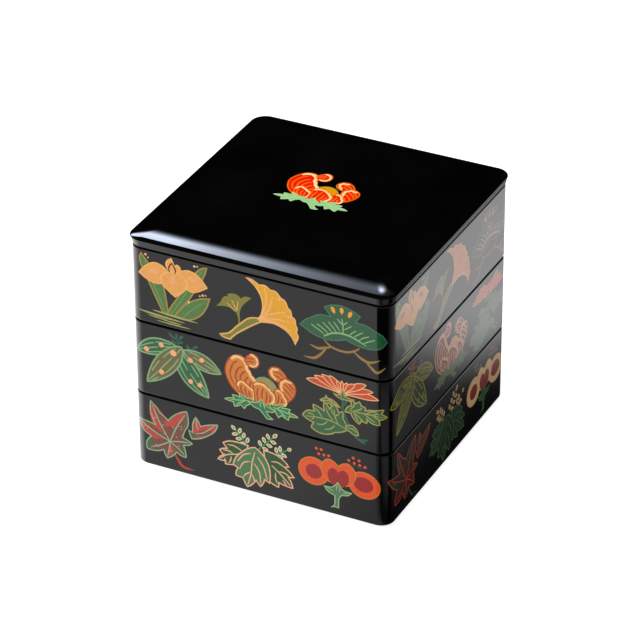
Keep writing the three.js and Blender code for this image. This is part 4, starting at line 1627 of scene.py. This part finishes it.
@dataclass
class Studio:
    """A white sweep with soft light, and the dark and bright fields that the lacquer mirrors.

    The fields shine from two cards, one just over the floor and one at the height ceiling. Their
    brightness follows the place on the card in metres. box_side is the way from the middle of the
    box to its walls.
    """

    box_side: float = 0.0975
    ceiling: float = 0.783
    floor_size: float = 30.0
    mirrored_size: float = 6.0
    mirrored_lift: float = 0.0004
    panel_size: float = 2.4
    sky_strength: float = 0.38
    floor_white: tuple[int, int, int] = (235, 235, 235)
    panel_white: tuple[int, int, int] = (222, 234, 255)

    def make(self) -> None:
        """Builds everything that stands round the box."""
        self.sky()
        self.floor()
        self.lamps()
        self.mirrored_floor()
        self.mirrored_ceiling()
        settings = bpy.context.scene.view_settings
        settings.view_transform = "Standard"
        settings.look = "None"

    def sky(self) -> None:
        """Gives the world an even white that the lacquer doesn't mirror."""
        world = bpy.data.worlds.new("studio_white")
        world.use_nodes = True
        sheet = NodeSheet(world.node_tree)
        seen = Number(sheet, sheet.node("ShaderNodeLightPath").outputs["Is Camera Ray"])
        strength = self.sky_strength + seen * (1.0 - self.sky_strength)
        light = sheet.node("ShaderNodeBackground", None, {"Color": (1, 1, 1, 1), "Strength": strength})
        sheet.node("ShaderNodeOutputWorld", None, {"Surface": light.outputs[0]})
        world.cycles_visibility.glossy = False
        bpy.context.scene.world = world

    def floor(self) -> None:
        """Lays the pale floor, which sends no light up to the box."""
        material = bpy.data.materials.new("pale_floor")
        material.use_nodes = True
        sheet = NodeSheet(material.node_tree)
        white = linear(self.floor_white)
        sheet.surface(sheet.node("ShaderNodeBsdfPrincipled", None, {
            "Base Color": white, "Roughness": 1.0, "Specular IOR Level": 0.0,
            "Emission Color": (1, 1, 1, 1), "Emission Strength": 0.8}))
        floor = self.card("floor", self.floor_size, (0.0, 0.0, 0.0), material)
        floor.visible_diffuse = False

    def card(self, name: str, size: float, middle: tuple[float, float, float],
             material: bpy.types.Material) -> bpy.types.Object:
        """Lays a level square card.

        Args:
            name: its name.
            size: its width in metres.
            middle: its middle.
            material: its finish.

        Returns:
            The card.
        """
        square = np.array([[-1, -1, 0], [1, -1, 0], [1, 1, 0], [-1, 1, 0]]) * size / 2 + middle
        mesh = bpy.data.meshes.new(name)
        mesh.from_pydata(square.tolist(), [], [(0, 1, 2, 3)])
        mesh.materials.append(material)
        made = bpy.data.objects.new(name, mesh)
        bpy.context.scene.collection.objects.link(made)
        return made

    def glow(self, name: str) -> tuple[bpy.types.Material, NodeSheet]:
        """Starts a material that only shines."""
        material = bpy.data.materials.new(name)
        material.use_nodes = True
        material.cycles.emission_sampling = "NONE"
        return material, NodeSheet(material.node_tree)

    def mirrored_only(self, made: bpy.types.Object) -> None:
        """Hides a card from all but the mirror-like reflections."""
        made.visible_camera = False
        made.visible_diffuse = False
        made.visible_transmission = False
        made.visible_volume_scatter = False
        made.visible_shadow = False

    def mirrored_floor(self) -> None:
        """Lays the floor that the lacquer mirrors.

        In front of the box it is white, brighter on the left, and falls off to the right. Past a
        line from the front right corner it is dark, darkest along the box, a little paler further
        out, and then grows white towards the back. Turns are degrees from straight ahead.
        """
        material, sheet = self.glow("mirrored_floor")
        x, y, _ = sheet.place_parts()
        out, ahead = x - self.box_side, -(y + self.box_side)
        turn = sheet.direction(out, ahead)
        reach = sheet.calculate("SQRT", out * out + ahead * ahead)
        close, far = reach.rise(0.22, 0.15), reach.rise(0.5, 1.2)
        right = (turn + 18 * reach.rise(0.2, 0.25)).rise(-5.0, 4.0) * turn.rise(179.9, 179.0)
        front = (1 - 0.5 * x.rise(0.0, 0.11)) * (1 - 0.5 * reach.rise(0.15, 0.08) * turn.rise(-38.0, -8.0))
        front = front * (1 + 1.4 * sheet.direction(-x - 0.09, ahead).rise(32.0, 76.0))
        corner = 0.34 * close * turn.rise(95.0, 68.0)
        corner += 0.4 * (1 - close) * turn.rise(60.0, 115.0) * turn.rise(152.0, 140.0)
        back = 0.13 * turn.rise(112.0, 125.0) + 1.45 * y.rise(0.076, 0.198)
        side = (corner + back) * (0.12 + 0.88 * out.rise(0.008, 0.053))
        near = right * side + (1 - right) * front
        strength = near * (1 - far) + far
        sheet.surface(sheet.node("ShaderNodeEmission", None, {"Strength": strength}))
        self.mirrored_only(self.card("mirrored_floor", self.mirrored_size,
                                     (0.0, 0.0, self.mirrored_lift), material))

    def mirrored_ceiling(self) -> None:
        """Hangs the panel that the lid's front roll mirrors, brightest on the left, and a small spot."""
        material, sheet = self.glow("mirrored_ceiling")
        x, y, _ = sheet.place_parts()
        along = sheet.calculate("MAXIMUM", x + 0.285 * y + 0.318, 0.0)
        fall = 15.2 * sheet.calculate("EXPONENT", along * -10.9)
        steepness = 2.6 - 1.4 * x.rise(-0.5, -0.3)
        reach = y.rise(0.25, 0.256) * sheet.calculate("POWER", y.rise(0.71, 0.455), steepness)
        right, back = x + 0.185, y - 0.5
        across, down = 26.0 * right + 10.1 * back, 8.5 * right - 6.8 * back
        spot = 16.0 * sheet.calculate("EXPONENT", -(across * across + down * down))
        sheet.surface(sheet.node("ShaderNodeEmission", None, {
            "Color": linear(self.panel_white), "Strength": fall * reach + spot}))
        self.mirrored_only(self.card("mirrored_ceiling", self.panel_size,
                                     (0.0, 0.0, self.ceiling), material))

    def lamps(self) -> None:
        """Sets up the soft lamps: a large one from the front left and a smaller one from above."""
        self.lamp("front_lamp", (-0.9, -1.5, 1.3), 1.4, 35.0)
        self.lamp("top_lamp", (-0.2, -0.2, 1.8), 1.2, 13.4)

    def lamp(self, name: str, place: tuple[float, float, float], size: float, power: float) -> None:
        """Hangs a square lamp that looks at the box and that the lacquer doesn't mirror."""
        data = bpy.data.lights.new(name, "AREA")
        data.size = size
        data.energy = power
        made = bpy.data.objects.new(name, data)
        made.location = place
        made.rotation_euler = (Vector(place) - Vector((0, 0, 0.1))).to_track_quat("Z", "Y").to_euler()
        made.visible_glossy = False
        bpy.context.scene.collection.objects.link(made)


def main() -> None:
    """Builds the camera, the stage, the finishes and the four pieces, in that order."""
    logging.basicConfig(level=logging.INFO, format="%(name)s: %(message)s")
    PhotoCamera().make()
    Studio().make()
    finishes = [Lacquer("polished_lacquer", 0.03, 0.00001).make(),
                Lacquer("inner_lacquer", 0.22, 0.00002).make(),
                PlantPaint("plant_paint").make()]
    bloom = Peony(-7.6, -22.0, {
        Paint.PEONY: Paint.FLAME, Paint.PEONY_LINE: Paint.FLAME_LINE, Paint.PEONY_CREAM: Paint.FLAME_CREAM,
        Paint.DOME: Paint.GOLD, Paint.DOME_RIM: Paint.GOLD_RIM, Paint.SEPAL: Paint.MINT,
        Paint.SEPAL_RIM: Paint.MINT_RIM})
    Lid("lid", 175.6, bloom).make(finishes)
    Tier("tier_top", 115.4, [Iris(), Ginkgo(), Pine()], 30.75).make(finishes)
    Tier("tier_middle", 57.7, [Bamboo(), Peony(), Chrysanthemum()], -26.3).make(finishes)
    Tier("tier_bottom", 0.0, [Maple(), ThreeLeaves(), PlumRounds()], 28.2).make(finishes)


if __name__ == "__main__":
    main()
